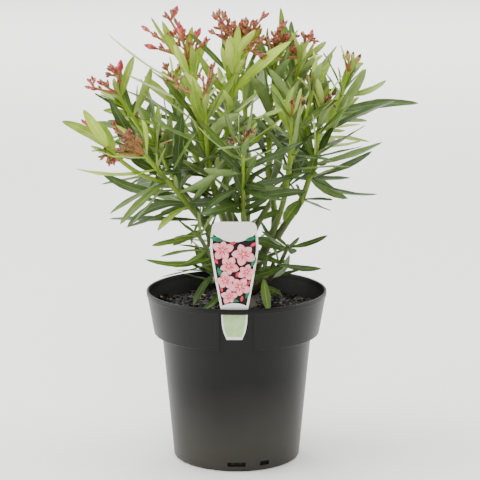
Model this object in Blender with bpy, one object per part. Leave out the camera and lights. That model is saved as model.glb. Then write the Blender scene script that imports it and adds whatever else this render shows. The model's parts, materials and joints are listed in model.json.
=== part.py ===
"""A dwarf oleander in a round nursery pot, with a plant label held by the rim.

The pot is a turned plastic shell with a wide collar, a label pocket in its front and drain
slots round its foot. It is filled with potting mix, and a multi-stemmed shrub stands in it:
a short root crown, tapering stems and masses of narrow leaves in whorls of three, each shoot
ending in a cluster of buds. The frame is metres with +Z up, the origin is at the centre of
the pot's flat underside, and the label faces -Y. Numbers in the tables are millimetres.
"""

import math
import random
from collections import namedtuple

import bmesh
import bpy
import numpy as np
from mathutils import Matrix
from mathutils.bvhtree import BVHTree

MM = 0.001
FIT_GAP = 0.3  # clearance left between pieces that touch

# Pot
POT_HEIGHT = 190.0
RIM_RADIUS = 100.0
RIM_LIP_HEIGHT = 6.0
COLLAR_TOP_RADIUS = 99.2
COLLAR_FOOT_RADIUS = 92.6
COLLAR_FOOT_Z = 147.0
BODY_TOP_RADIUS = 82.0
BODY_TOP_Z = 130.0
BODY_FOOT_RADIUS = 70.6
FOOT_CORNER = 4.0
WALL = 2.0
FLOOR_THICKNESS = 3.0
FOOT_PAD_RADIUS = 26.0
FOOT_RING_RADIUS = 58.0
FOOT_GROOVE_DEPTH = 1.0
POT_SEGMENTS = 38
COLLAR_STEP_POINTS = 5
COLLAR_STEP_LIFT = 0.4  # share of an inset by which the middle of the step also rises

# Drain slots round the foot, wide and narrow in turn
SLOT_COUNT = 14
SLOT_WIDTHS = (20.0, 11.0)
SLOT_LOW_Z = 6.0
SLOT_HEIGHT = 5.0

# Label pocket in the front of the collar
POCKET_HALF_WIDTH = 18.6
POCKET_CHEEK = 2.0
POCKET_BACK_Y = -89.4
POCKET_PLATE = 2.4
POCKET_TOP_Z = 184.2
POCKET_FOOT_Z = 145.0
RECESS_FOOT_Z = 142.0

# Label
LABEL_THICKNESS = 0.7
LABEL_FRONT_Y = -95.2  # at the pivot height, where it bears on the inside of the lip
LABEL_PIVOT_Z = 187.0
LABEL_LEAN = math.radians(7.0)
LABEL_CENTRE_X = -2.2
LABEL_CORNER = 6.0
LABEL_HALF_WIDTHS = ((155.0, 8.0), (162.0, 11.4), (171.5, 13.4), (181.0, 14.0), (188.0, 14.3),
                     (221.5, 20.2), (255.5, 25.5), (271.0, 25.0), (280.5, 23.4))  # height, half width
LABEL_TOP_Z = 287.0

# Potting mix
MIX_TOP_Z = 171.0
MIX_FLAT_RADIUS = 24.0
MIX_DIP = 2.5

# Root crown
CROWN_FOOT = (4.0, 0.0)
CROWN_TOP = (8.0, 2.0, 196.0)
CROWN_FLARE_RADIUS = 18.0
CROWN_NECK_RADIUS = 12.6
CROWN_SIDES = 12
CROWN_LOBES = 3
CROWN_LOBE_DEPTH = 0.10
CROWN_LOBE_TURN = 0.6
STEM_RING_RADIUS = 8.3

LIMB_SIDES = 7
LIMB_STEPS = 5
LIMB_RISE = 0.6  # how strongly a limb sets off square to its seat before it turns to its end
PATH_SPRING = 0.45  # share of a stem's span over which it keeps to its first heading

# Each limb: its parent, where it ends, its radius at base and tip, and the angle at which it
# stands on the root crown (None is the crown's middle, or a limb that leaves another limb).
Limb = namedtuple("Limb", "name parent end base tip seat")
LIMBS = (
    Limb("left_stem", "root_crown", (-36, -15, 267), 3.9, 3.4, 222),
    Limb("left_high_stem", "root_crown", (-42, 25, 270), 3.4, 2.9, 168),
    Limb("centre_left_stem", "root_crown", (-20, 2, 285), 3.5, 3.0, None),
    Limb("centre_stem", "root_crown", (-10, 14, 280), 3.7, 3.2, 117),
    Limb("back_stem", "root_crown", (12, 42, 238), 4.0, 3.6, 62),
    Limb("right_stem", "root_crown", (42, 3, 252), 4.5, 4.0, 358),
    Limb("front_stem", "root_crown", (7, -40, 292), 3.2, 2.7, 290),
    Limb("right_bough", "right_stem", (70, -5, 288), 3.4, 2.9, None),
    Limb("right_centre_bough", "right_stem", (38, 21, 298), 3.2, 2.8, None),
    Limb("right_inner_bough", "right_stem", (54, -22, 305), 3.0, 2.6, None),
    Limb("back_left_bough", "back_stem", (-34, 76, 300), 3.1, 2.7, None),
    Limb("back_centre_bough", "back_stem", (12, 84, 312), 3.1, 2.7, None),
    Limb("back_right_bough", "back_stem", (56, 68, 298), 3.1, 2.7, None),
)

# Each shoot: the mass it belongs to, what it grows from (a limb, the root crown at an angle,
# or another shoot at a share of its length), its tip, its whorls, leaf length, spread of its
# lowest and highest leaves in degrees, turn of its first whorl, and its bud cluster's number of
# branches (0 is none) and stalk length.
Shoot = namedtuple("Shoot", "mass name source at tip whorls leaf low high turn buds stalk")
SHOOTS = (
    Shoot("left_front", "left_front", "left_stem", 0, (-99, -55, 350), 6, 84, 80, 46, 185, 5, 12),
    Shoot("left_front", "left_tip", "left_front", 0.60, (-136, -66, 358), 2, 74, 62, 40, 150, 2, 8),
    Shoot("right", "right_inner_top", "right_bough", 0, (91, -15, 392), 5, 80, 72, 34, 10, 4, 11),
    Shoot("right", "right_outer_top", "right_inner_top", 0.42, (124, 30, 427), 6, 80, 66, 30, 340, 3, 9),
    Shoot("upper_left", "upper_left", "centre_left_stem", 0, (-53, 12, 437), 8, 80, 68, 36, 160, 6, 38),
    Shoot("top_centre", "top_centre", "centre_stem", 0, (2, 0, 454), 8, 84, 64, 44, 20, 8, 17),
    Shoot("top_right", "top_right", "right_centre_bough", 0, (44, 16, 446), 7, 86, 64, 34, 75, 5, 13),
    Shoot("top_right", "top_right_side", "top_right", 0.5, (70, 8, 444), 4, 74, 52, 28, 30, 4, 16),
    Shoot("left_high", "left_high", "left_high_stem", 0, (-130, 10, 405), 7, 80, 72, 40, 175, 6, 16),
    Shoot("left_high", "left_middle", "left_high", 0.42, (-84, -14, 352), 3, 66, 66, 36, 110, 3, 8),
    Shoot("centre_left", "centre_left", "centre_left_stem", 0, (-34, -28, 404), 6, 80, 70, 30, 140, 4, 11),
    Shoot("right_centre", "right_centre", "right_inner_bough", 0, (60, -46, 388), 5, 78, 70, 34, 65, 4, 11),
    Shoot("right_centre", "right_upper_side", "right_centre", 0.4, (82, -20, 414), 3, 76, 54, 32, 20, 2, 8),
    Shoot("centre_front", "centre_front", "front_stem", 0, (8, -84, 366), 5, 80, 76, 40, 5, 2, 7),
    Shoot("back_left", "back_left", "back_left_bough", 0, (-72, 108, 404), 6, 84, 74, 32, 95, 3, 10),
    Shoot("back_left", "back_far_left", "back_left", 0.4, (-114, 92, 366), 4, 80, 68, 40, 130, 2, 8),
    Shoot("back_centre", "back_centre", "back_centre_bough", 0, (6, 98, 440), 7, 86, 72, 28, 90, 4, 11),
    Shoot("back_centre", "back_low_centre", "back_centre", 0.3, (-10, 146, 374), 4, 80, 70, 42, 100, 2, 8),
    Shoot("back_right", "back_right", "back_right_bough", 0, (72, 96, 412), 6, 84, 74, 32, 80, 3, 10),
    Shoot("back_right", "back_far_right", "back_right", 0.4, (112, 104, 366), 4, 78, 68, 40, 40, 2, 8),
    Shoot("low_left", "low_left", "root_crown", 243, (-42, -46, 262), 6, 74, 90, 66, 180, 0, 0),
    Shoot("low_right", "low_right", "root_crown", 335, (56, -34, 246), 4, 62, 92, 74, 0, 0, 0),
    Shoot("low_back", "low_back", "root_crown", 92, (-16, 72, 244), 5, 76, 86, 56, 90, 0, 0),
    Shoot("foot_left", "foot_left", "root_crown", 212, (-24, -32, 216), 3, 56, 96, 70, 215, 0, 0),
    Shoot("foot_right", "foot_right", "root_crown", 306, (30, -38, 212), 3, 52, 100, 70, 310, 0, 0),
)

# Long leaves that give the crown its outline: where each one's tip reaches, how far its blade
# turns to the front, and how much its rib curls toward the blade's face.
REACHING_LEAVES = {
    "left_tip": ((-188, -46, 385, 0.5, 0.10), (-161, -84, 403, 1.6, -0.06), (-137, -40, 410, 0.9, 0.0)),
    "left_front": ((-178, -60, 335, 0.1, 0.24), (-148, -10, 323, 0.8, 0.06), (-142, -4, 270, 0.2, -0.06),
                   (-119, -52, 269, 0.7, -0.10), (-84, -84, 272, 1.1, -0.12)),
    "left_high": ((-112, 20, 448, 1.2, -0.05), (-128, 30, 432, 0.9, -0.04), (-109, 32, 286, 0.3, -0.04),
                  (-138, -8, 388, 0.8, 0.0)),
    "left_middle": ((-84, -30, 402, 1.2, -0.1),),
    "upper_left": ((-142, 10, 474, 0.2, 0.12), (-81, 8, 487, 1.5, -0.05), (-94, 24, 490, 0.4, 0.05),
                   (-48, 18, 480, 1.0, 0.0), (-119, -20, 432, 0.6, 0.1), (-79, -48, 430, 1.6, -0.1)),
    "centre_left": ((-29, 14, 484, 1.0, 0.04), (-46, -76, 434, 1.8, -0.05), (-92, -60, 392, 0.6, 0.22)),
    "top_centre": ((59, -24, 468, 1.5, -0.05), (60, 22, 440, 0.8, 0.0), (-16, 30, 466, 1.0, 0.0)),
    "top_right": ((48, 24, 500, 1.0, 0.0), (34, 10, 480, 1.2, -0.05), (70, -14, 446, 0.9, 0.0)),
    "top_right_side": ((60, 30, 485, 1.0, -0.05),),
    "right_centre": ((40, -96, 352, 0.8, 0.0), (80, -60, 330, 1.0, 0.05)),
    "right_inner_top": ((104, -42, 298, 0.6, 0.04), (106, 22, 274, 0.6, -0.05), (157, -24, 311, 0.3, 0.14),
                        (153, 22, 342, 0.3, 0.18)),
    "right_outer_top": ((206, 62, 389, 0.6, 0.08), (174, 2, 400, 0.7, 0.06), (166, 34, 419, 0.9, -0.08),
                        (140, 58, 347, 0.4, 0.08), (110, -12, 440, 1.6, -0.04), (92, 14, 436, 1.2, -0.16)),
    "low_left": ((-94, -24, 243, 0.8, -0.06), (-101, -66, 236, 0.7, 0.2), (-57, -80, 235, 0.8, -0.05)),
    "low_right": ((103, -14, 254, 0.4, 0.25), (58, -78, 246, 1.5, -0.08), (56, -66, 228, 0.8, -0.05)),
    "foot_left": ((-47, -54, 184, 1.4, -0.03), (-46, -68, 178, 0.8, 0.1)),
    "foot_right": ((36, -62, 177, 1.4, -0.16),),
}

SEED = "oleander"
CROWN_CENTRE = (4.0, 12.0, 325.0)
CROWN_REACH = (190.0, 172.0, 168.0)
LEAVES_PER_WHORL = 3
WHORL_TURN = 60.0
FIRST_WHORL = 0.05
LAST_WHORL = 0.97
WHORL_CROWDING = 0.9  # below one, whorls stand closer together toward the tip
TOP_LEAF_SHORTER = 0.28
TURN_JITTER = 9.0
SPREAD_JITTER = 7.0
LENGTH_RANGE = (0.86, 1.08)
CURL_RANGE = (-0.14, 0.10)
ROLL_JITTER = 34.0
SKY_PULL = 0.5  # how much a blade turns up to the sky
LEAF_WIDTH_SHARE = 0.165
LEAF_THICKNESS_SHARE = 0.018
LEAF_STATIONS = ((0.26, 0.86), (0.62, 1.0))  # share of the length, share of the full width
LEAF_ROOT_DEPTH = 1.0
LEAF_NUDGES = (0, 13, -13, 26, -26, 39, -39)  # degrees tried round the stem before a leaf is skipped
LEAF_ROOT_FACES = 3  # a leaf shape's first faces, which lie in and near its stem
SHOOT_SIDES = 3
SHOOT_STEPS = 7
SHOOT_BASE_RADIUS = 2.8
SHOOT_TIP_RADIUS = 1.8
SPRIG_RADIUS = 2.0
SPRIG_SHARE = 0.6  # height of a low sprig on the root crown
SPRIG_FLARE_SHARE = 0.4  # a lower height there, whose wider ring keeps a sprig's seat clear
SPRIG_RISE = 0.8
SIDE_SHOOT_SPREAD = 0.5
PEDUNCLE_RADIUS = 1.3
BUD_LENGTH = 12.0
BUD_RADIUS = 1.9
BRANCH_RADIUS = 1.1
BRANCH_LENGTH = 6.0
BRANCH_PER_BRANCH = 2.1
BRANCH_RANGE = (0.75, 1.15)
BRANCH_LOW_LEAN = 82.0
BRANCH_HIGH_LEAN = 32.0
FIRST_BRANCH = 0.35  # share of the stalk's height
FORK_SHARE = 0.6
STALK_TIP_RADIUS = 1.0
STALK_ROOT_DEPTH = 3.0
GOLDEN_ANGLE = 137.5

COLOURS = {
    "pot_plastic": ((0.035, 0.035, 0.033), 0.5),
    "potting_mix": ((0.02, 0.014, 0.01), 0.95),
    "label_card": ((0.85, 0.84, 0.79), 0.35),
    "stem_bark": ((0.2, 0.22, 0.06), 0.6),
    "oleander_leaf": ((0.12, 0.22, 0.05), 0.5),
}


def clear_scene():
    """Remove whatever the file holds."""
    for item in list(bpy.data.objects):
        bpy.data.objects.remove(item, do_unlink=True)


def surface(name):
    """Return the named Principled material, made on first use."""
    material = bpy.data.materials.get(name)
    if material is None:
        material = bpy.data.materials.new(name)
        material.use_nodes = True
        colour, roughness = COLOURS[name]
        shader = material.node_tree.nodes["Principled BSDF"]
        shader.inputs["Base Color"].default_value = (*colour, 1.0)
        shader.inputs["Roughness"].default_value = roughness
        material.diffuse_color = (*colour, 1.0)
    return material


def add_object(name, points, faces, material, smooth_angle=None):
    """Make a mesh object from points in millimetres."""
    mesh = bpy.data.meshes.new(name)
    mesh.from_pydata((np.asarray(points, float) * MM).tolist(), [], [list(face) for face in faces])
    mesh.materials.append(surface(material))
    if smooth_angle is not None:
        mesh.shade_smooth()
        mesh.set_sharp_from_angle(angle=math.radians(smooth_angle))
    item = bpy.data.objects.new(name, mesh)
    bpy.context.scene.collection.objects.link(item)
    return item


def unit(vector):
    """Scale a vector to length one."""
    return vector / np.linalg.norm(vector)


def arc(centre, radius, start, end, count):
    """Points along a circular arc in the radius-height plane, angles in degrees."""
    angles = np.radians(np.linspace(start, end, count))
    return [(centre[0] + radius * math.cos(a), centre[1] + radius * math.sin(a)) for a in angles]


# ---------------------------------------------------------------- turned pieces

def turned(profile, segments):
    """Turn a closed radius-height profile, which starts and ends on the axis, about Z."""
    points, rings, faces = [], [], []
    for radius, height in profile:
        if radius == 0:
            rings.append([len(points)] * segments)
            points.append((0.0, 0.0, height))
            continue
        rings.append(list(range(len(points), len(points) + segments)))
        for step in range(segments):
            angle = math.tau * step / segments
            points.append((radius * math.cos(angle), radius * math.sin(angle), height))
    for lower, upper in zip(rings, rings[1:]):
        for step in range(segments):
            after = (step + 1) % segments
            face = (lower[step], lower[after], upper[after], upper[step])
            corners = tuple(dict.fromkeys(face))
            if len(corners) > 2:
                faces.append(corners)
    return points, faces


def collar_step(inset):
    """The S-shaped step from the body up to the collar's foot, moved into the pot by an inset."""
    steps = np.linspace(0.0, 1.0, COLLAR_STEP_POINTS)
    span = COLLAR_FOOT_RADIUS - BODY_TOP_RADIUS
    rise = COLLAR_FOOT_Z - BODY_TOP_Z
    radii = BODY_TOP_RADIUS + span * (1 - np.cos(np.pi * steps)) / 2 - inset
    heights = BODY_TOP_Z + rise * steps + inset * COLLAR_STEP_LIFT * np.sin(np.pi * steps)
    return list(zip(radii.tolist(), heights.tolist()))


def pot_profile():
    """The pot's section: out along the underside, up the outside, over the lip, down inside."""
    groove = FOOT_GROOVE_DEPTH
    under = [(0, 0), (FOOT_PAD_RADIUS, 0), (FOOT_PAD_RADIUS + 1, groove), (FOOT_RING_RADIUS, groove),
             (FOOT_RING_RADIUS + 1, 0)]
    corner = arc((BODY_FOOT_RADIUS - FOOT_CORNER, FOOT_CORNER), FOOT_CORNER, -90, 0, 4)
    lip_z = POT_HEIGHT - RIM_LIP_HEIGHT
    lip = [(COLLAR_TOP_RADIUS, lip_z), (RIM_RADIUS, lip_z + 1.5), (RIM_RADIUS, POT_HEIGHT - 1.2),
           (RIM_RADIUS - 1.2, POT_HEIGHT), (RIM_RADIUS - 2.0, POT_HEIGHT),
           (COLLAR_TOP_RADIUS - WALL, POT_HEIGHT - 1.0), (COLLAR_TOP_RADIUS - WALL, lip_z)]
    inside = collar_step(WALL)[::-1]
    inner_foot = BODY_FOOT_RADIUS - WALL
    floor = [(inner_foot - 0.3, FLOOR_THICKNESS + 2), (inner_foot - 3, FLOOR_THICKNESS)]
    floor.append((0, FLOOR_THICKNESS))
    return under + corner + collar_step(0) + lip + inside + floor


def box_points(low, high):
    """Corners and faces of a box."""
    x0, y0, z0 = low
    x1, y1, z1 = high
    points = [(x0, y0, z0), (x1, y0, z0), (x1, y1, z0), (x0, y1, z0),
              (x0, y0, z1), (x1, y0, z1), (x1, y1, z1), (x0, y1, z1)]
    faces = [(0, 3, 2, 1), (4, 5, 6, 7), (0, 1, 5, 4), (1, 2, 6, 5), (2, 3, 7, 6), (3, 0, 4, 7)]
    return points, faces


def as_tool(item):
    """Mark an object as a Boolean operand that is not part of the model."""
    item.hide_render = True
    item.display_type = "WIRE"
    return item


def combine(target, tool, operation, solver="EXACT"):
    """Add a Boolean modifier that joins or cuts the target with the tool."""
    modifier = target.modifiers.new(operation.lower(), "BOOLEAN")
    modifier.operation = operation
    modifier.solver = solver
    modifier.object = as_tool(tool)


def pocket_block():
    """The label pocket's cheeks and back plate as one block that follows the collar's slope."""
    half = POCKET_HALF_WIDTH + POCKET_CHEEK
    back = POCKET_BACK_Y + POCKET_PLATE
    corners = []
    foot_radius = COLLAR_FOOT_RADIUS - 0.3  # the collar has begun to step in at the pocket's foot
    for height, collar in ((POCKET_FOOT_Z, foot_radius), (POCKET_TOP_Z, COLLAR_TOP_RADIUS)):
        middle = collar - WALL / 2
        front = -math.sqrt(middle ** 2 - half ** 2)
        corners += [(-half, front, height), (half, front, height)]
        corners += [(half, back, height), (-half, back, height)]
    faces = box_points((0, 0, 0), (1, 1, 1))[1]
    return add_object("pocket_block", corners, faces, "pot_plastic")


def pocket_recess():
    """The open space in front of the pocket's back plate, below the rim's lip."""
    low = (-POCKET_HALF_WIDTH, -RIM_RADIUS - 5, RECESS_FOOT_Z)
    high = (POCKET_HALF_WIDTH, POCKET_BACK_Y, POT_HEIGHT - RIM_LIP_HEIGHT + 0.5)
    return add_object("pocket_recess", *box_points(low, high), "pot_plastic")


def slot_cutter():
    """Blocks that cut the drain slots through the wall just above the foot."""
    points, faces = [], []
    for index in range(SLOT_COUNT):
        width = SLOT_WIDTHS[index % 2]
        low = (-width / 2, -BODY_FOOT_RADIUS - 6, SLOT_LOW_Z)
        high = (width / 2, -BODY_FOOT_RADIUS + WALL + 5, SLOT_LOW_Z + SLOT_HEIGHT)
        block, sides = box_points(low, high)
        turn = math.tau * index / SLOT_COUNT
        about_z = np.array(Matrix.Rotation(turn, 3, "Z"))
        faces += [tuple(corner + len(points) for corner in side) for side in sides]
        points += (np.array(block) @ about_z.T).tolist()
    return add_object("slot_cutter", points, faces, "pot_plastic")


def make_pot():
    """The turned pot, with the label pocket joined on and its openings cut."""
    pot = add_object("pot", *turned(pot_profile(), POT_SEGMENTS), "pot_plastic", smooth_angle=35)
    combine(pot, pocket_block(), "UNION", solver="MANIFOLD")
    combine(pot, pocket_recess(), "DIFFERENCE")
    combine(pot, slot_cutter(), "DIFFERENCE")
    return pot


def make_potting_mix():
    """The fill, shaped by the pot's inside and lightly dished, cut clear of the pocket."""
    inside = collar_step(WALL + FIT_GAP)
    slope = (COLLAR_TOP_RADIUS - COLLAR_FOOT_RADIUS) / (POT_HEIGHT - RIM_LIP_HEIGHT - COLLAR_FOOT_Z)
    edge = inside[-1][0] + slope * (MIX_TOP_Z - 1 - COLLAR_FOOT_Z)
    foot = FLOOR_THICKNESS + FIT_GAP
    profile = [(0, foot), (BODY_FOOT_RADIUS - WALL - 3.5, foot), (BODY_FOOT_RADIUS - WALL - 0.8, foot + 2.2)]
    profile += inside
    profile += [(edge, MIX_TOP_Z - 1), (edge - 18, MIX_TOP_Z - MIX_DIP), (edge - 45, MIX_TOP_Z - MIX_DIP),
                (MIX_FLAT_RADIUS, MIX_TOP_Z), (0, MIX_TOP_Z)]
    mix = add_object("potting_mix", *turned(profile, POT_SEGMENTS), "potting_mix", smooth_angle=35)
    half = POCKET_HALF_WIDTH + POCKET_CHEEK + FIT_GAP
    low = (-half, -RIM_RADIUS, RECESS_FOOT_Z - FIT_GAP)
    high = (half, POCKET_BACK_Y + POCKET_PLATE + FIT_GAP, POT_HEIGHT)
    combine(mix, add_object("mix_cutter", *box_points(low, high), "pot_plastic"), "DIFFERENCE")
    return mix


# ---------------------------------------------------------------- label

def label_outline():
    """The label's outline, seen from the front: tapering foot, wide shoulders, round corners."""
    right = [(half, height) for height, half in LABEL_HALF_WIDTHS]
    top_half = LABEL_HALF_WIDTHS[-1][1]
    right += arc((top_half - LABEL_CORNER, LABEL_TOP_Z - LABEL_CORNER), LABEL_CORNER, 15, 90, 5)
    left = [(-half, height) for half, height in reversed(right)]
    return right + left


def make_label():
    """The plant label: a thin plate held behind the rim's lip, leaning out with the collar."""
    outline = label_outline()
    front = [(LABEL_CENTRE_X + x, 0.0, z) for x, z in outline]
    back = [(x, LABEL_THICKNESS, z) for x, _, z in front]
    count = len(front)
    points = np.array(front + back)
    rise = points[:, 2] - LABEL_PIVOT_Z
    points[:, 1] += LABEL_FRONT_Y - rise * math.tan(LABEL_LEAN)
    faces = [tuple(range(count)), tuple(range(2 * count - 1, count - 1, -1))]
    for step in range(count):
        after = (step + 1) % count
        faces.append((after, step, count + step, count + after))
    return add_object("label", points, faces, "label_card")


# ---------------------------------------------------------------- tubes

def growth_path(start, heading, end, count):
    """A stem's midline: it sets off along its heading and curves over to its end (a parabola)."""
    start, end = np.array(start, float), np.array(end, float)
    control = start + unit(heading) * PATH_SPRING * np.linalg.norm(end - start)
    t = np.linspace(0.0, 1.0, count)[:, None]
    return (1 - t) ** 2 * start + 2 * t * (1 - t) * control + t ** 2 * end


def tube(path, radii, sides, base_plane=None):
    """A closed tube along a path. Its first ring may be cut along the plane with a given normal."""
    tangents = np.gradient(path, axis=0)
    tangents /= np.linalg.norm(tangents, axis=1)[:, None]
    side = np.cross(tangents[0], (0.31, 0.95, 0.0))
    angles = math.tau * np.arange(sides) / sides
    rings, faces = [], []
    for centre, tangent, radius in zip(path, tangents, radii):
        side = unit(side - tangent * (side @ tangent))
        across = np.cross(tangent, side)
        rings.append(centre + radius * (np.outer(np.cos(angles), side) + np.outer(np.sin(angles), across)))
    if base_plane is not None:
        depth = (rings[0] - path[0]) @ base_plane / (tangents[0] @ base_plane)
        rings[0] = rings[0] - np.outer(depth, tangents[0])
    for ring in range(len(rings) - 1):
        for step in range(sides):
            low, after = ring * sides + step, ring * sides + (step + 1) % sides
            faces.append((low, after, after + sides, low + sides))
    last = len(rings) * sides
    faces.append(tuple(range(sides - 1, -1, -1)))
    faces.append(tuple(range(last - sides, last)))
    return np.concatenate(rings), faces


def point_on(path, share):
    """The place and heading at a share of a path's length."""
    place = share * (len(path) - 1)
    index = min(int(place), len(path) - 2)
    step = path[index + 1] - path[index]
    return path[index] + step * (place - index), unit(step)


# ---------------------------------------------------------------- root crown and limbs

def crown_radius(share, angles):
    """The root crown's radius: a flare that dies away upward, with three shallow lobes."""
    flare = (CROWN_FLARE_RADIUS - CROWN_NECK_RADIUS) * (1 - share) ** 3
    lobes = CROWN_LOBE_DEPTH * (1 - share) * np.cos(CROWN_LOBES * angles + CROWN_LOBE_TURN)
    return (CROWN_NECK_RADIUS + flare) * (1 + lobes)


def crown_axis(share):
    """The root crown's leaning midline, from its flat cut to its fork."""
    foot = np.array((*CROWN_FOOT, MIX_TOP_Z + FIT_GAP))
    return foot + (np.array(CROWN_TOP) - foot) * share


def make_root_crown():
    """The short root crown: flared where it is cut flat at the mix, leaning to its fork."""
    shares = (0.0, 0.1, 0.25, 0.5, 0.8, 1.0)
    angles = math.tau * np.arange(CROWN_SIDES) / CROWN_SIDES
    around = np.stack((np.cos(angles), np.sin(angles), 0 * angles), axis=1)
    rings = [crown_axis(share) + around * crown_radius(share, angles)[:, None] for share in shares]
    faces = []
    for ring in range(len(shares) - 1):
        for step in range(CROWN_SIDES):
            low = ring * CROWN_SIDES + step
            after = ring * CROWN_SIDES + (step + 1) % CROWN_SIDES
            faces.append((low, after, after + CROWN_SIDES, low + CROWN_SIDES))
    last = len(shares) * CROWN_SIDES
    faces.append(tuple(range(CROWN_SIDES - 1, -1, -1)))
    faces.append(tuple(range(last - CROWN_SIDES, last)))
    return add_object("root_crown", np.concatenate(rings), faces, "stem_bark", smooth_angle=50)


def crown_seat(angle):
    """Where a limb stands on the root crown's flat top: on the ring, or in its middle."""
    top = np.array(CROWN_TOP) + (0, 0, FIT_GAP)
    if angle is None:
        return top
    turn = math.radians(angle)
    return top + STEM_RING_RADIUS * np.array((math.cos(turn), math.sin(turn), 0))


def fork_seats(path, ends, radius):
    """Seats for what grows from a limb's tip: one in its middle, or several evenly round it."""
    axis = unit(path[-1] - path[-2])
    seat = path[-1] + axis * FIT_GAP
    if len(ends) == 1:
        return [seat]
    side = unit(np.cross(axis, (0, 1, 0)))
    across = np.cross(axis, side)
    leans = [np.array(end, float) - seat for end in ends]
    turns = [math.atan2(lean @ across, lean @ side) for lean in leans]
    order = sorted(range(len(ends)), key=turns.__getitem__)
    even = math.tau / len(ends)
    drift = [turns[which] - place * even for place, which in enumerate(order)]
    first = math.atan2(sum(map(math.sin, drift)), sum(map(math.cos, drift)))
    reach = (radius + FIT_GAP / 2) / math.sin(even / 2)
    seats = [None] * len(ends)
    for place, which in enumerate(order):
        turn = first + place * even
        seats[which] = seat + reach * (math.cos(turn) * side + math.sin(turn) * across)
    return seats


def limb_paths():
    """Midline and seat plane of every limb, parents first."""
    paths = {}
    for limb in LIMBS:
        if limb.parent == "root_crown":
            seat, axis = crown_seat(limb.seat), np.array((0.0, 0.0, 1.0))
        else:
            parent = paths[limb.parent][0]
            family = [other for other in LIMBS if other.parent == limb.parent]
            widest = max(other.base for other in family)
            seats = fork_seats(parent, [other.end for other in family], widest * 1.08)
            seat, axis = seats[family.index(limb)], unit(parent[-1] - parent[-2])
        heading = unit(np.array(limb.end) - seat) + LIMB_RISE * axis
        paths[limb.name] = growth_path(seat, heading, limb.end, LIMB_STEPS + 1), axis
    return paths


def make_limbs(paths):
    """Every limb: one tapering tube from its seat to where its foliage begins."""
    limbs = []
    for limb in LIMBS:
        path, plane = paths[limb.name]
        radii = np.linspace(limb.base, limb.tip, len(path))
        shape = tube(path, radii, LIMB_SIDES, plane)
        limbs.append(add_object(limb.name, *shape, "stem_bark", smooth_angle=60))
    return limbs


# ---------------------------------------------------------------- shoots

def shoot_paths(limbs):
    """Midline, base radius and seat plane of every shoot, each after what it grows from."""
    paths = {}
    for shoot in SHOOTS:
        plane, radius = None, SHOOT_BASE_RADIUS
        if shoot.source == "root_crown":
            turn, radius = math.radians(shoot.at), SPRIG_RADIUS
            plane = np.array((math.cos(turn), math.sin(turn), 0.0))
            seat = crown_axis(SPRIG_SHARE) + plane * (crown_radius(SPRIG_FLARE_SHARE, turn) + FIT_GAP)
            heading = plane + (0, 0, SPRIG_RISE)
        elif shoot.source in limbs:
            parent = limbs[shoot.source][0]
            plane = unit(parent[-1] - parent[-2])
            family = [other for other in SHOOTS if other.source == shoot.source]
            seats = fork_seats(parent, [other.tip for other in family], SHOOT_BASE_RADIUS)
            seat = seats[family.index(shoot)]
            heading = unit(np.array(shoot.tip) - seat) + plane
        else:
            seat, axis = point_on(paths[shoot.source][0], shoot.at)
            radius = SPRIG_RADIUS
            lean = unit(np.array(shoot.tip) - seat)
            heading = lean + SIDE_SHOOT_SPREAD * unit(lean - axis * (lean @ axis))
        paths[shoot.name] = growth_path(seat, heading, shoot.tip, SHOOT_STEPS + 1), radius, plane
    return paths


def stem_shape(path, radius, plane):
    """A shoot's three-sided stem."""
    return tube(path, np.linspace(radius, SHOOT_TIP_RADIUS, len(path)), SHOOT_SIDES, plane)


Growth = namedtuple("Growth", "base axis side across turn spread length curl roll")
Leaf = namedtuple("Leaf", "base heading normal length curl")


def whorl_leaves(shoot, path, draw):
    """Leaves in whorls of three. Each whorl is turned from the last, and the spread narrows upward."""
    leaves = []
    for whorl in range(shoot.whorls):
        climb = whorl / max(shoot.whorls - 1, 1)
        share = FIRST_WHORL + (LAST_WHORL - FIRST_WHORL) * climb ** WHORL_CROWDING
        base, axis = point_on(path, share)
        side = unit(np.array((1.0, 0, 0)) - axis * axis[0])
        across = np.cross(axis, side)
        for third in range(LEAVES_PER_WHORL):
            turn = shoot.turn + WHORL_TURN * whorl + 360 / LEAVES_PER_WHORL * third
            turn += draw.gauss(0, TURN_JITTER)
            spread = shoot.low + (shoot.high - shoot.low) * climb + draw.gauss(0, SPREAD_JITTER)
            length = shoot.leaf * (1.0 - TOP_LEAF_SHORTER * climb ** 3) * draw.uniform(*LENGTH_RANGE)
            curl, roll = draw.uniform(*CURL_RANGE), draw.gauss(0, ROLL_JITTER)
            leaves.append(Growth(base, axis, side, across, turn, math.radians(spread), length, curl, roll))
    return leaves


def leaf_heading(growth, nudge=0):
    """The way a drawn leaf sets off from its stem, turned round it by a nudge."""
    angle = math.radians(growth.turn + nudge)
    outward = math.cos(angle) * growth.side + math.sin(angle) * growth.across
    return math.cos(growth.spread) * growth.axis + math.sin(growth.spread) * outward


def aim_leaf(growth, nudge):
    """Turn one leaf's draws into its place: heading off the stem, blade facing up along it."""
    heading = leaf_heading(growth, nudge)
    normal = blade_normal(heading, growth.axis, growth.roll)
    return Leaf(growth.base, heading, normal, growth.length, growth.curl)


def blade_normal(heading, axis, roll):
    """The way a blade faces: up its stem and to the sky, rolled about its midrib."""
    facing = axis + np.array((0, 0, SKY_PULL))
    facing = unit(facing - heading * (facing @ heading))
    turn = math.radians(roll)
    return math.cos(turn) * facing + math.sin(turn) * np.cross(heading, facing)


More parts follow.
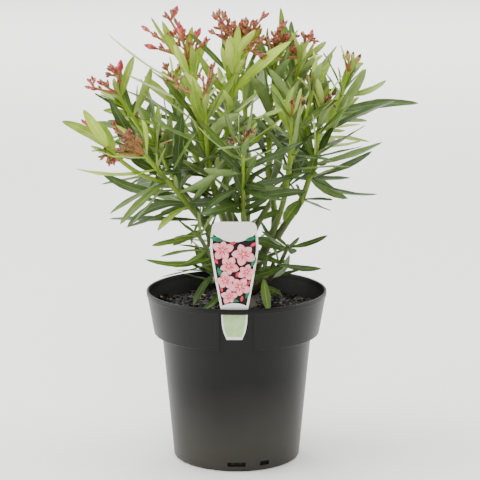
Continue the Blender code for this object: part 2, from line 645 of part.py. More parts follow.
def leaf_shape(leaf):
    """A leaf: a root point in the stem, two three-sided stations along a curved rib, and a tip."""
    shares = np.array([0.0] + [share for share, _ in LEAF_STATIONS] + [1.0])
    bend = np.outer(shares ** 2, leaf.normal) * leaf.curl
    rib = leaf.base + leaf.length * (np.outer(shares, leaf.heading) + bend)
    points = [rib[0] - leaf.heading * LEAF_ROOT_DEPTH]
    for centre, share, (_, width) in zip(rib[1:3], shares[1:3], LEAF_STATIONS):
        along = unit(leaf.heading + 2 * share * leaf.curl * leaf.normal)
        across = np.cross(along, leaf.normal)
        half = leaf.length * LEAF_WIDTH_SHARE * width / 2
        keel = np.cross(across, along) * leaf.length * LEAF_THICKNESS_SHARE
        points += [centre + across * half, centre - across * half, centre - keel]
    points.append(rib[-1])
    faces = [(0, 2, 1), (0, 3, 2), (0, 1, 3), (7, 4, 5), (7, 5, 6), (7, 6, 4)]
    for step in range(3):
        after = (step + 1) % 3
        faces.append((1 + step, 1 + after, 4 + after, 4 + step))
    return outward_faces(np.array(points), faces)


def outward_faces(points, faces):
    """Turn a closed shape's faces the right way round, by the sign of its volume."""
    volume = 0.0
    for face in faces:
        for i in range(1, len(face) - 1):
            volume += points[face[0]] @ np.cross(points[face[i]], points[face[i + 1]])
    return points, faces if volume > 0 else [face[::-1] for face in faces]


def bud_shape(base, heading, length, radius):
    """A bud: a three-sided spindle, thickest a little past its middle."""
    side = unit(np.cross(heading, (0.2, 0.5, 0.84)))
    across = np.cross(heading, side)
    angles = math.tau * np.arange(3) / 3
    belly = base + heading * length * 0.55
    ring = belly + radius * (np.outer(np.cos(angles), side) + np.outer(np.sin(angles), across))
    points = np.concatenate(([base - heading], ring, [base + heading * length]))
    faces = [(0, 1, 2), (0, 2, 3), (0, 3, 1), (4, 2, 1), (4, 3, 2), (4, 1, 3)]
    return outward_faces(points, faces)


def bud_pair(start, heading, axis, reach, draw):
    """One branch of a cluster: a twig with a bud at its end and a smaller one at its fork."""
    end = start + heading * (reach - 1.0)
    fork = start + heading * reach * FORK_SHARE
    aside = np.cross(heading, axis) * draw.choice((-1, 1))
    ahead = unit(heading + 0.45 * axis)
    apart = unit(heading + 0.9 * aside + 0.3 * axis)
    large = BUD_LENGTH * draw.uniform(0.85, 1.15)
    small = BUD_LENGTH * draw.uniform(0.7, 0.95)
    return [bud_shape(start, heading, reach + 2.0, BRANCH_RADIUS),
            bud_shape(end, ahead, large, BUD_RADIUS),
            bud_shape(fork, apart, small, BUD_RADIUS * 0.85)]


def bud_cluster(shoot, path, draw):
    """A shoot's bud cluster: a stalk with branches at the golden angle, the lowest held widest."""
    tip, axis = point_on(path, 1.0)
    axis = unit(axis + np.array((0, 0, 0.3)))
    side = unit(np.cross(axis, (0.1, 0.9, 0.2)))
    across = np.cross(axis, side)
    foot = tip - STALK_ROOT_DEPTH * axis
    shapes = [tube(np.array((foot, tip + shoot.stalk * axis)), (PEDUNCLE_RADIUS, STALK_TIP_RADIUS), 3)]
    for branch in range(shoot.buds):
        climb = branch / max(shoot.buds - 1, 1)
        turn = math.radians(shoot.turn + GOLDEN_ANGLE * branch)
        lean = BRANCH_LOW_LEAN + (BRANCH_HIGH_LEAN - BRANCH_LOW_LEAN) * climb + draw.gauss(0, SPREAD_JITTER)
        outward = math.cos(turn) * side + math.sin(turn) * across
        heading = unit(math.cos(math.radians(lean)) * axis + math.sin(math.radians(lean)) * outward)
        height = FIRST_BRANCH + (1 - FIRST_BRANCH) * climb
        start = tip + axis * (shoot.stalk * height - 1.0)
        reach = (BRANCH_LENGTH + BRANCH_PER_BRANCH * shoot.buds) * draw.uniform(*BRANCH_RANGE)
        shapes += bud_pair(start, heading, axis, reach, draw)
    return shapes


# ---------------------------------------------------------------- keeping to its own space

Room = namedtuple("Room", "mass owner whole blade")


class Taken:
    """The room that is already taken, as search trees with their boxes and owners.

    Shapes of two masses may not meet at all. In one mass a leaf's blade keeps clear of the
    other blades, buds and stems, except its own shoot's, while its root may meet them.
    """

    def __init__(self):
        self.rooms = []
        self.lows, self.highs = np.empty((0, 3)), np.empty((0, 3))

    def add(self, mass, owner, points, faces, roots=0):
        """Take room for a shape whose first faces are its root."""
        corners = np.asarray(points).tolist()
        whole = BVHTree.FromPolygons(corners, faces)
        blade = BVHTree.FromPolygons(corners, faces[roots:]) if roots else whole
        self.rooms.append(Room(mass, owner, whole, blade))
        self.lows = np.vstack((self.lows, np.min(points, axis=0)))
        self.highs = np.vstack((self.highs, np.max(points, axis=0)))

    def meets(self, mass, own, points, faces, roots=0):
        """Whether a shape crosses another mass's room, or its blade its mass's, but for its own."""
        low, high = np.min(points, axis=0), np.max(points, axis=0)
        near = np.flatnonzero(np.all((self.lows <= high) & (self.highs >= low), axis=1))
        if len(near) == 0:
            return False
        corners = points.tolist()
        whole = BVHTree.FromPolygons(corners, faces)
        blade = BVHTree.FromPolygons(corners, faces[roots:]) if roots else None
        for index in near:
            room = self.rooms[index]
            if room.mass != mass:
                if whole.overlap(room.whole):
                    return True
            elif blade and room.owner not in own and blade.overlap(room.blade):
                return True
        return False


def evaluated_shape(item):
    """An object's mesh as its modifiers leave it, in millimetres."""
    copy = item.evaluated_get(bpy.context.evaluated_depsgraph_get())
    mesh = copy.to_mesh()
    points = np.array([vertex.co for vertex in mesh.vertices]) / MM
    faces = [tuple(polygon.vertices) for polygon in mesh.polygons]
    copy.to_mesh_clear()
    return points, faces


def inside_crown(point):
    """Whether a leaf's tip keeps to the crown: an egg round its middle, clear above the mix."""
    share = (point - np.array(CROWN_CENTRE)) / np.array(CROWN_REACH)
    return share @ share < 1.0


def reaching_leaf(base, axis, tip, front, curl):
    """A leaf whose tip is given: its rib sets off so that its curl brings it there."""
    line = unit(tip - base)
    facing = axis + np.array((0, -front, SKY_PULL))
    normal = unit(facing - line * (facing @ line))
    length = np.linalg.norm(tip - base) / math.sqrt(1 + curl ** 2)
    heading = (tip - base) / length - curl * normal
    return Leaf(base, unit(heading), normal, length, curl)


def reach_for(tip, growths, used):
    """The drawn leaf that a reaching leaf takes the place of: the one that points nearest its tip."""
    free = [index for index in range(len(growths)) if index not in used]
    ends = [growths[index].base + leaf_heading(growths[index]) * growths[index].length for index in free]
    return free[int(np.argmin(np.linalg.norm(np.array(ends) - tip, axis=1)))]


def place_reaching(shoot, growths, taken, shapes):
    """Place a shoot's reaching leaves, and return the drawn leaves that are left to place."""
    used = set()
    for *tip, front, curl in REACHING_LEAVES.get(shoot.name, ()):
        index = reach_for(np.array(tip, float), growths, used)
        used.add(index)
        growth = growths[index]
        leaf = reaching_leaf(growth.base, growth.axis, np.array(tip, float), front, curl)
        own = (shoot.name + " stem", shoot.name + " buds")
        keep_free(leaf_shape(leaf), shoot, taken, shapes, own, LEAF_ROOT_FACES)
    return [growth for index, growth in enumerate(growths) if index not in used]


def place_drawn(shoot, growths, taken, shapes):
    """Place a shoot's other leaves. One that finds no free room after a few turns is skipped."""
    own = (shoot.name + " stem",)
    for growth in growths:
        for nudge in LEAF_NUDGES:
            leaf = aim_leaf(growth, nudge)
            tip = leaf.base + leaf.length * (leaf.heading + leaf.curl * leaf.normal)
            shape = leaf_shape(leaf)
            if inside_crown(tip) and keep_free(shape, shoot, taken, shapes, own, LEAF_ROOT_FACES):
                break


def keep_free(shape, shoot, taken, shapes, own, roots):
    """Keep a shape if it meets nothing that is in its way, and take its room."""
    if taken.meets(shoot.mass, own, *shape, roots):
        return False
    taken.add(shoot.mass, shoot.name if roots else shoot.name + " buds", *shape, roots)
    shapes.append(shape)
    return True


# ---------------------------------------------------------------- foliage masses

def largest_shell(mesh):
    """Drop loose scraps and fill sealed hollows by keeping only a mesh's largest shell."""
    bm = bmesh.new()
    bm.from_mesh(mesh)
    left, shells = set(bm.verts), []
    while left:
        shell, edge = set(), [left.pop()]
        while edge:
            vertex = edge.pop()
            shell.add(vertex)
            near = {link.other_vert(vertex) for link in vertex.link_edges} & left
            left -= near
            edge.extend(near)
        shells.append(shell)
    largest = max(shells, key=len)
    scraps = [vertex for vertex in bm.verts if vertex not in largest]
    bmesh.ops.delete(bm, geom=scraps, context="VERTS")
    bmesh.ops.triangulate(bm, faces=bm.faces[:])
    bm.to_mesh(mesh)
    bm.free()


def join_mass(name, shapes):
    """Fuse a mass's stems, leaves and buds into one solid with one union on a collection."""
    mass = add_object(name, *shapes[0], "oleander_leaf")
    pieces = bpy.data.collections.new(name + "_pieces")
    bpy.context.scene.collection.children.link(pieces)
    for shape in shapes[1:]:
        piece = as_tool(add_object(name + "_piece", *shape, "oleander_leaf"))
        bpy.context.scene.collection.objects.unlink(piece)
        pieces.objects.link(piece)
    union = mass.modifiers.new("union", "BOOLEAN")
    union.operation = "UNION"
    union.operand_type = "COLLECTION"
    union.collection = pieces
    union.solver = "MANIFOLD"
    evaluated = mass.evaluated_get(bpy.context.evaluated_depsgraph_get())
    joined = bpy.data.meshes.new_from_object(evaluated)
    mass.modifiers.clear()
    mass.data = joined
    for piece in list(pieces.objects):
        bpy.data.objects.remove(piece, do_unlink=True)
    bpy.data.collections.remove(pieces)
    largest_shell(joined)
    return mass


def grow_masses(limbs, fixed):
    """Grow every mass: stems first, then buds, then leaves, each clear of what is there already."""
    taken = Taken()
    for item in fixed:
        taken.add(item.name, item.name, *evaluated_shape(item))
    paths = shoot_paths(limbs)
    shapes = {shoot.mass: [] for shoot in SHOOTS}
    for shoot in SHOOTS:
        stem = stem_shape(*paths[shoot.name])
        shapes[shoot.mass].append(stem)
        taken.add(shoot.mass, shoot.name + " stem", *stem)
    for shoot in SHOOTS:
        if shoot.buds:
            draw = random.Random(f"{SEED} buds {shoot.name}")
            for shape in bud_cluster(shoot, paths[shoot.name][0], draw):
                keep_free(shape, shoot, taken, shapes[shoot.mass], (), 0)
    growths = {}
    for shoot in SHOOTS:
        draw = random.Random(f"{SEED} leaves {shoot.name}")
        growths[shoot.name] = whorl_leaves(shoot, paths[shoot.name][0], draw)
    for shoot in SHOOTS:
        growths[shoot.name] = place_reaching(shoot, growths[shoot.name], taken, shapes[shoot.mass])
    for shoot in SHOOTS:
        place_drawn(shoot, growths[shoot.name], taken, shapes[shoot.mass])
    return [join_mass(name, shapes[name]) for name in shapes]


def main():
    """Build the potted plant and hang every piece on one empty."""
    clear_scene()
    limbs = limb_paths()
    fixed = [make_pot(), make_potting_mix(), make_label(), make_root_crown()] + make_limbs(limbs)
    masses = grow_masses(limbs, fixed)
    plant = bpy.data.objects.new("potted_oleander", None)
    bpy.context.scene.collection.objects.link(plant)
    for item in fixed + masses:
        item.parent = plant


main()
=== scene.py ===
"""A dwarf oleander in a round nursery pot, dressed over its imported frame.

Everything is worked out in millimetres with +Z up, the origin at the centre of the pot's flat
underside and the label toward -Y, and becomes metres when a mesh is made. The shrub grows by a
rule: stems fork from a short root crown, leaves stand on them in whorls of three, and each
shoot ends in a cluster of buds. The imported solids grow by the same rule, so limbs and shoots stand
where the solids have them, and leaves and buds are finer and more here.
"""

import json
import math
import random
from collections import namedtuple
from functools import lru_cache

import bpy
import numpy as np
from bpy.props import FloatProperty, FloatVectorProperty, IntProperty, PointerProperty, StringProperty
from bpy.types import Operator, Panel, PropertyGroup
from mathutils import Matrix, Vector
from mathutils.bvhtree import BVHTree

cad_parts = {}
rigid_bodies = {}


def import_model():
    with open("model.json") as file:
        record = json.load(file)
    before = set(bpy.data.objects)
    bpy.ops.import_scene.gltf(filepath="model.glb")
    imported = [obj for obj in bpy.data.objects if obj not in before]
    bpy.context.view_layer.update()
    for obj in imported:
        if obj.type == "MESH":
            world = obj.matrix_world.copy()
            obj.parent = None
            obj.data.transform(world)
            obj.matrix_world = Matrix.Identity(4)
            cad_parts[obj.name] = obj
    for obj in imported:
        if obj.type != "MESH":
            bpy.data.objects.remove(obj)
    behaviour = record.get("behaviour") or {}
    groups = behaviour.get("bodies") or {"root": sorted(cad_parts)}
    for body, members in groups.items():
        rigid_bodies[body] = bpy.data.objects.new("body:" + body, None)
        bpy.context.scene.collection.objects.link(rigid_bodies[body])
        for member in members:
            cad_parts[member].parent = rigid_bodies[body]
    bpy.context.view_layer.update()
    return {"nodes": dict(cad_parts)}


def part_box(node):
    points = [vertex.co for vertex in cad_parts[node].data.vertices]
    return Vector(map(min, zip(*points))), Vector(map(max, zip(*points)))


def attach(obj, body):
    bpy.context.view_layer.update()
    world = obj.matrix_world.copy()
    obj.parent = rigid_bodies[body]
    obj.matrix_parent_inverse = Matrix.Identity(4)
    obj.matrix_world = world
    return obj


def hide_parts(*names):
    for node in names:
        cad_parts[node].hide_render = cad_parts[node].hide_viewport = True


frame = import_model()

bl_info = {
    "name": "Potted oleander",
    "version": (1, 0, 0),
    "blender": (4, 5, 0),
    "location": "View3D > Sidebar > Oleander",
    "description": "A dwarf oleander with bud clusters in a round nursery pot with a plant label",
    "category": "Add Mesh",
}

MM = 0.001


def linear(hex_colour):
    """An sRGB hex colour as linear red, green and blue: each is ((c + 0.055) / 1.055) to the 2.4."""
    values = [int(hex_colour[start:start + 2], 16) / 255 for start in (1, 3, 5)]
    return tuple(v / 12.92 if v <= 0.04045 else ((v + 0.055) / 1.055) ** 2.4 for v in values)


def node_size(node, axis):
    """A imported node's size along one axis, in metres."""
    low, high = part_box(node)
    return high[axis] - low[axis]


# ---------------- settings

def size_setting(name, description, default):
    """A length that a user may change, in metres."""
    return FloatProperty(name=name, description=description, default=default, unit="LENGTH")


def colour_setting(name, description, hex_colour):
    """A colour that a user may change."""
    return FloatVectorProperty(name=name, description=description, size=3, subtype="COLOR",
                               default=linear(hex_colour))


class PotSettings(PropertyGroup):
    """Sizes and colours of the nursery pot."""

    height: size_setting("Height", "Floor to rim", node_size("pot", 2))
    rim_radius: size_setting("Rim radius", "Outside of the lip", node_size("pot", 0) / 2)
    lip_height: size_setting("Lip height", "Height of the band round the rim", 0.006)
    wall: size_setting("Wall", "Thickness of the moulded wall", 0.002)
    segments: IntProperty(name="Segments", description="Steps round the pot", default=168, min=24)
    colour: colour_setting("Colour", "Moulded black plastic", "#0b0b0a")
    # The colour of dried dust, which the outside drifts to in patches; the pot's foot is also lightened
    # toward it, which is painted floor-bounce light.
    dusty_and_lit: colour_setting("Dusty", "The plastic where dried dust films it", "#33312b")


class MixSettings(PropertyGroup):
    """The potting mix and the chips on it."""

    top: size_setting("Top", "Height of the mix at the root crown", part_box("potting_mix")[1][2])
    relief: size_setting("Relief", "How far lumps stand up", 0.0022)
    chips: IntProperty(name="Chips", description="Number of bark chips on the mix", default=1500, min=0)
    colour: colour_setting("Colour", "Moist composted bark", "#0d0a08")
    crumbs: colour_setting("Crumbs", "The lighter crumbs in it", "#3a2e22")


class LabelSettings(PropertyGroup):
    """The plant label."""

    thickness: size_setting("Thickness", "Thickness of the sheet", 0.0007)
    border: size_setting("Border", "Width of the unprinted edge", 0.0024)
    sheet: colour_setting("Sheet", "The bare white sheet", "#f4f3ec")
    petals: colour_setting("Petals", "The printed blossoms", "#f58f9b")


class ShrubSettings(PropertyGroup):
    """The shrub: its seed, the cut of its leaves and the finer growth."""

    seed: StringProperty(name="Seed", description="Word that fixes every random draw", default="oleander")
    leaf_width: FloatProperty(name="Leaf width", description="A typical leaf's width over its length",
                              default=0.185, subtype="FACTOR", min=0.05, max=0.4)
    leaf_thickness: FloatProperty(name="Leaf thickness", description="Thickness beside the midrib",
                                  default=0.00045, unit="LENGTH")
    fold: FloatProperty(name="Fold", description="How far the blade folds up about its midrib",
                        default=0.26, subtype="FACTOR", min=0.0, max=1.0)
    fine_leaves: IntProperty(name="Fine leaves", description="Small leaves tried at each shoot's tip",
                             default=6, min=0)


class StageSettings(PropertyGroup):
    """Camera, floor and lights."""

    distance: size_setting("Distance", "Camera to the pot's axis", 2.2)
    eye_height: size_setting("Eye height", "Camera above the floor", 0.7012)
    aside: size_setting("Aside", "Camera to the right of the pot's axis", 0.0038)
    pitch: FloatProperty(name="Pitch", description="How far the camera looks down",
                         default=math.radians(11.707), subtype="ANGLE")
    lens: FloatProperty(name="Lens", description="Focal length in millimetres on a 36 mm sensor",
                        default=152.35)
    floor: colour_setting("Floor", "The pale floor", "#f4f4f2")


# ---------------- meshes

X_AXIS, Y_AXIS, Z_AXIS = np.eye(3)
LATTICE = 64  # points each way in the lattice that lumps are eased between
CREASE = 50.0  # degrees past which an edge stays hard


def unit(vectors):
    """Vectors scaled to length one."""
    vectors = np.asarray(vectors, float)
    return vectors / np.linalg.norm(vectors, axis=-1, keepdims=True)


def swung(side, across, turn):
    """The direction at an angle from one toward another: cosine times the one, sine times the other."""
    return math.cos(turn) * side + math.sin(turn) * across


def even_angles(count):
    """Angles evenly round a circle."""
    return math.tau * np.arange(count) / count


def circle(side, across, count):
    """Directions evenly round a circle: cosine times the one given, plus sine times the other."""
    angles = even_angles(count)
    return np.cos(angles)[:, None] * side[..., None, :] + np.sin(angles)[:, None] * across[..., None, :]


def columns(rows):
    """The fields of rows that are alike, each as one array."""
    return [np.array(column) for column in zip(*rows)]


def capped(rings, first, last):
    """Points of tubes (..., rows, sides, 3) in one row, with the two poles that close each added."""
    flat = rings.reshape(*rings.shape[:-3], -1, 3)
    return np.concatenate((flat, first[..., None, :], last[..., None, :]), axis=-2)


def capped_faces(rows, sides):
    """Faces of a capped tube: quads between its rings, and triangles from its end rings to the poles."""
    step = np.arange(sides)
    after = (step + 1) % sides
    low = sides * np.arange(rows - 1)[:, None]
    quads = np.stack((low + step, low + after, low + sides + after, low + sides + step), axis=-1)
    pole, top = rows * sides, (rows - 1) * sides
    first = np.stack((np.full(sides, pole), after, step), axis=1)
    last = np.stack((np.full(sides, pole + 1), top + step, top + after), axis=1)
    return quads.reshape(-1, 4), np.concatenate((first, last))


ASKEW = (0.31, 0.95, 0.0)  # a way that no tube sets off in


def carried(paths, radii):
    """Rings carried along paths (N, rows, 3). Each stands square to its path, with the radius given
    for each side (N, rows, sides), and its first direction is the ring's before it, laid square to
    the path again, so that the tube doesn't twist."""
    tangents = unit(np.gradient(paths, axis=1))
    side = unit(np.cross(tangents[:, 0], ASKEW))
    rings = []
    for row in range(paths.shape[1]):
        tangent = tangents[:, row]
        side = unit(side - tangent * np.sum(side * tangent, axis=1, keepdims=True))
        around = circle(side, np.cross(tangent, side), radii.shape[2])
        rings.append(paths[:, row, None] + radii[:, row, :, None] * around)
    return np.stack(rings, axis=1)


def rounded(radii, sides):
    """Radii (N, rows) given alike to every side."""
    return np.repeat(radii[..., None], sides, axis=2)


def turned(profile, segments):
    """Rings and poles of a closed shape turned about Z: each radius and height of its profile makes
    a ring, and the two ends, which lie on the axis, make poles."""
    profile = np.array(profile, float)
    rings = profile[1:-1, None, :1] * circle(X_AXIS, Y_AXIS, segments) + profile[1:-1, None, 1:] * Z_AXIS
    return rings, profile[0, 1] * Z_AXIS, profile[-1, 1] * Z_AXIS


def arc(centre, radius, start, end, count):
    """Points along a circular arc in a plane, angles in degrees."""
    angles = np.radians(np.linspace(start, end, count))
    return [(centre[0] + radius * math.cos(a), centre[1] + radius * math.sin(a)) for a in angles]


def lumps(x, y, size, draws):
    """Smooth random heights of up to about one: draws on a square lattice, eased between its points."""
    lattice = draws.uniform(-1, 1, (LATTICE, LATTICE))
    u, v = x / size, y / size
    i, j = np.floor(u).astype(int) % LATTICE, np.floor(v).astype(int) % LATTICE
    across, along = (share * share * (3 - 2 * share) for share in (u - np.floor(u), v - np.floor(v)))
    right, above = (i + 1) % LATTICE, (j + 1) % LATTICE
    near = lattice[i, j] * (1 - across) + lattice[right, j] * across
    far = lattice[i, above] * (1 - across) + lattice[right, above] * across
    return near * (1 - along) + far * along


class Joined:
    """The points and faces of one piece, gathered shape by shape."""

    def __init__(self):
        self.points, self.corners, self.sizes, self.paint = [], [], [], []
        self.count = 0

    def add(self, points, *groups):
        """Add a shape (V, 3), or many alike (N, V, 3). Each group is equal faces and their material."""
        shapes = points[None] if points.ndim == 2 else points
        number, size = shapes.shape[:2]
        starts = self.count + size * np.arange(number)
        for faces, material in groups:
            faces = np.asarray(faces)
            self.corners.append((starts[:, None, None] + faces).reshape(-1))
            self.sizes.append(np.full(number * len(faces), faces.shape[1]))
            self.paint.append(np.tile(np.broadcast_to(material, len(faces)), number))
        self.points.append(shapes.reshape(-1, 3))
        self.count += number * size

    def add_tubes(self, rings, first, last, side_paint=0, end_paint=0):
        """Add closed tubes, whose rings (..., rows, sides, 3) are closed by two poles."""
        quads, poles = capped_faces(*rings.shape[-3:-1])
        self.add(capped(rings, first, last), (quads, side_paint), (poles, end_paint))

    def add_stems(self, paths, radii):
        """Add round stems along paths (N, rows, 3), with a radius for each side (N, rows, sides)."""
        self.add_tubes(carried(paths, radii), paths[:, 0], paths[:, -1])

    def made(self, name, materials, crease=CREASE):
        """The object, with edges sharper than the crease angle left hard."""
        points = np.concatenate(self.points) * MM
        corners, sizes = np.concatenate(self.corners), np.concatenate(self.sizes)
        mesh = bpy.data.meshes.new(name)
        mesh.vertices.add(len(points))
        mesh.vertices.foreach_set("co", points.astype(np.float32).ravel())
        mesh.loops.add(len(corners))
        mesh.loops.foreach_set("vertex_index", corners.astype(np.int32))
        mesh.polygons.add(len(sizes))
        mesh.polygons.foreach_set("loop_start", (np.cumsum(sizes) - sizes).astype(np.int32))
        mesh.polygons.foreach_set("material_index", np.concatenate(self.paint).astype(np.int32))
        for material in materials:
            mesh.materials.append(material)
        mesh.update(calc_edges=True)
        mesh.shade_smooth()
        mesh.set_sharp_from_angle(angle=math.radians(crease))
        item = bpy.data.objects.new(name, mesh)
        bpy.context.scene.collection.objects.link(item)
        return item


def settle(item, nodes=()):
    """Let a finished piece ride on the plant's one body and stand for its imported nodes."""
    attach(item, "root")
    if nodes:
        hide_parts(*nodes)


# ---------------- materials

def node(tree, kind, sockets=None, stops=(), **properties):
    """Add a shader node with its properties, colour stops, and values or links for its sockets."""
    made = tree.nodes.new("ShaderNode" + kind)
    for name, value in properties.items():
        setattr(made, name, value)
    for index, (place, colour) in enumerate(stops):
        elements = made.color_ramp.elements
        element = elements[index] if index < len(elements) else elements.new(place)
        element.position, element.color = place, (*colour, 1.0)
    for name, value in (sockets or {}).items():
        if isinstance(value, bpy.types.NodeSocket):
            tree.links.new(value, made.inputs[name])
        else:
            made.inputs[name].default_value = value
    return made


def material(name, **sockets):
    """A new Principled material: sockets are named with _ for a space and take values. Returns it,
    its node tree, its shader and the place on the object that its patterns read."""
    made = bpy.data.materials.new(name)
    made.use_nodes = True
    shader = made.node_tree.nodes["Principled BSDF"]
    for socket, value in sockets.items():
        shader.inputs[socket.replace("_", " ")].default_value = value
    place = node(made.node_tree, "TexCoord").outputs["Object"]
    return made, made.node_tree, shader, place


def every(millimetres):
    """The texture scale at which a pattern repeats about every so many millimetres."""
    return 1.0 / (millimetres * MM)


def dressed(tree, shader, share, stops, height, depth):
    """Colour a shader by a share through colour stops, and give it a relief of a depth in millimetres."""
    tint = node(tree, "ValToRGB", {"Fac": share}, stops=stops)
    tree.links.new(tint.outputs["Color"], shader.inputs["Base Color"])
    bump = node(tree, "Bump", {"Height": height, "Distance": depth * MM, "Strength": 1.0})
    tree.links.new(bump.outputs["Normal"], shader.inputs["Normal"])


def mottled(name, stops, size, relief_size, relief, film=None, **sockets):
    """A material whose colour drifts between stops over patches of one size, with a fine relief
    of another size. Sizes are in millimetres, and the relief is its height in millimetres. A foot
    light is a height and a share: below that height the drift is carried up the stops by as much
    as the share, most at the foot, which paints light there, such as the floor's bounce."""
    made, tree, shader, place = material(name, **sockets)
    drift = node(tree, "TexNoise", {"Vector": place, "Scale": every(size), "Detail": 4.0}).outputs["Fac"]
    if film:
        height = node(tree, "SeparateXYZ", {"Vector": place}).outputs["Z"]
        fade = {"Value": height, "From Max": film[0] * MM, "To Min": film[1], "To Max": 0.0}
        low = node(tree, "MapRange", fade).outputs[0]
        drift = node(tree, "Math", {0: drift, 1: low}, operation="ADD").outputs[0]
    grain = node(tree, "TexNoise", {"Vector": place, "Scale": every(relief_size), "Detail": 3.0})
    dressed(tree, shader, drift, stops, grain.outputs["Fac"], relief)
    return made


def moulded_polypropylene(name, clean, dusty_and_lit, roughness, film=None):
    """Injection-moulded black polypropylene. It gives the eye a satin near-black with broad soft
    reflections, and where a foot light is given it grows lighter toward its foot in dust's colour,
    which is painted light from the floor's bounce. Typical IOR 1.49 and roughness 0.4; its grain,
    0.1 mm on the real one, is drawn at 0.5 mm so that it shows."""
    return mottled(name, ((0.5, clean), (1.0, dusty_and_lit)), size=240.0, relief_size=0.5, relief=0.012,
                   film=film, Roughness=roughness, IOR=1.49, Specular_IOR_Level=0.22)


def composted_bark(mix):
    """Moist composted bark. It gives the eye a dark crumbly ground with paler dry crumbs. Typical
    roughness 0.9; crumbs are 1 to 4 mm."""
    stops = ((0.42, tuple(mix.colour)), (0.62, tuple(mix.colour)), (0.74, tuple(mix.crumbs)))
    return mottled("composted_bark", stops, size=3.0, relief_size=1.2, relief=0.6, Roughness=0.9)


def bark_chip(name, dark, pale):
    """A chip of pine bark. It gives the eye a matt flake with streaks about 2 mm apart."""
    stops = ((0.35, linear(dark)), (0.7, linear(pale)))
    return mottled(name, stops, size=2.0, relief_size=0.8, relief=0.2, Roughness=0.8)


def printed_sheet(name, colour, shade, **sockets):
    """Matt printed polypropylene sheet. It gives the eye a clean, even colour with only a breath
    of unevenness in the ink. Typical IOR 1.49 and roughness 0.5."""
    return mottled(name, ((0.3, shade), (0.7, colour)), size=6.0, relief_size=0.8, relief=0.004,
                   Roughness=0.5, IOR=1.49, Specular_IOR_Level=0.2, **sockets)


# How bark greens with height: from where to where, and shares of that span with their colours.
BARK_BROWN_Z, BARK_GREEN_Z = 200.0, 400.0
BARK_RAGGED = 0.05  # how many metres the streaks carry the greening up or down
BARK_SCALE = (1.0, 1.0, 0.22)  # the pattern's, drawn out upward
FISSURE_SPACING = 1.6
FISSURE_RELIEF = 0.25
BARK_STOPS = ((0.0, "#463d2b"), (0.2, "#484a2c"), (0.45, "#526129"), (0.7, "#728a24"), (1.0, "#90ac26"))


def young_bark():
    """Oleander bark. It gives the eye a grey-brown, finely fissured foot that greens upward to a
    smooth yellow-green stem, at a ragged height. Typical roughness 0.55; fissures are about 1.6 mm
    apart and run along the stem, so the pattern is stretched upward."""
    made, tree, shader, place = material("young_bark", Roughness=0.55, IOR=1.45)
    height = node(tree, "SeparateXYZ", {"Vector": place}).outputs["Z"]
    stretched = node(tree, "Mapping", {"Vector": place, "Scale": BARK_SCALE}).outputs["Vector"]
    pattern = {"Vector": stretched, "Scale": every(FISSURE_SPACING), "Detail": 5.0}
    streaks = node(tree, "TexNoise", pattern).outputs["Fac"]
    mixed = {0: streaks, 1: BARK_RAGGED, 2: height}
    ragged = node(tree, "Math", mixed, operation="MULTIPLY_ADD").outputs[0]
    span = {"Value": ragged, "From Min": BARK_BROWN_Z * MM, "From Max": BARK_GREEN_Z * MM}
    share = node(tree, "MapRange", span).outputs[0]
    stops = [(stop, linear(colour)) for stop, colour in BARK_STOPS]
    dressed(tree, shader, share, stops, streaks, FISSURE_RELIEF)
    return made


def leaf_surface(name, dark, pale, roughness):
    """Oleander leaf. It gives the eye a leathery blade with a soft satin cuticle, whose green
    drifts over 15 mm or so, with fine side veins that leave a faint grain about 1 mm apart.
    Typical IOR 1.45, matched here by 1.4, and roughness 0.4 above and 0.6 beneath."""
    stops = ((0.3, linear(dark)), (0.7, linear(pale)))
    return mottled(name, stops, size=16.0, relief_size=1.1, relief=0.07, Roughness=roughness, IOR=1.4)


def bud_surface(name, dark, pale):
    """A rolled oleander bud. It gives the eye a waxy spindle whose colour changes along its
    few millimetres. Typical roughness 0.45."""
    stops = ((0.32, linear(dark)), (0.68, linear(pale)))
    return mottled(name, stops, size=4.0, relief_size=0.7, relief=0.08, Roughness=0.45, IOR=1.45)


# ---------------- pot

# The pot's and the label's places and sizes in millimetres.
COLLAR_TOP_RADIUS = 99.2
COLLAR_FOOT_RADIUS = 92.6
COLLAR_FOOT_Z = 147.0
BODY_TOP_RADIUS = 82.0
BODY_TOP_Z = 130.0
BODY_FOOT_RADIUS = 70.6
FOOT_CORNER = 4.0
FLOOR_THICKNESS = 3.0
FOOT_PAD_RADIUS = 26.0
FOOT_RING_RADIUS = 58.0
FOOT_GROOVE_DEPTH = 1.0
COLLAR_EDGE_Z = 141.6
COLLAR_EDGE_ROUND = 1.4
COLLAR_EDGE_INSET = 0.6
COLLAR_NECK_ROUND = 2.2
STEP_DROP = 20.0  # how far below the body's top the step's section begins
LIP_UNDER_ROUND = 0.8
LIP_OUTER_ROUND = 1.2
LIP_INNER_ROUND = 1.0
FLOOR_CORNER = (0.3, 2.0)  # where the inside wall turns in to the floor: inset and rise
FLOOR_EASE = 3.0
CUT_ROOM = (6.0, 5.0)  # how far the cuts reach past the wall, outside and inside
SLOT_COUNT = 14  # places round the foot
SLOT_PLACES = (0, 1, 5, 6, 7, 8, 9)  # two in front, the rest behind
SLOT_WIDTHS = (20.0, 11.0)  # in turn
SLOT_LOW_Z = 6.0
SLOT_HEIGHT = 5.0
POCKET_HALF_WIDTH = 18.6
POCKET_CHEEK = 2.0
POCKET_BACK_Y = -89.4
POCKET_PLATE = 4.0
POCKET_SINK = 1.0  # how far its cheeks end inside the collar's face
POCKET_TOP_Z = 184.2
POCKET_FOOT_Z = 142.6
POCKET_FOOT_RADIUS = COLLAR_FOOT_RADIUS - 0.3  # the collar's at that height
POCKET_CLEARANCE = 2.2  # behind the label's face
RECESS_FOOT_Z = 138.0  # below the collar, so that the recess is open there
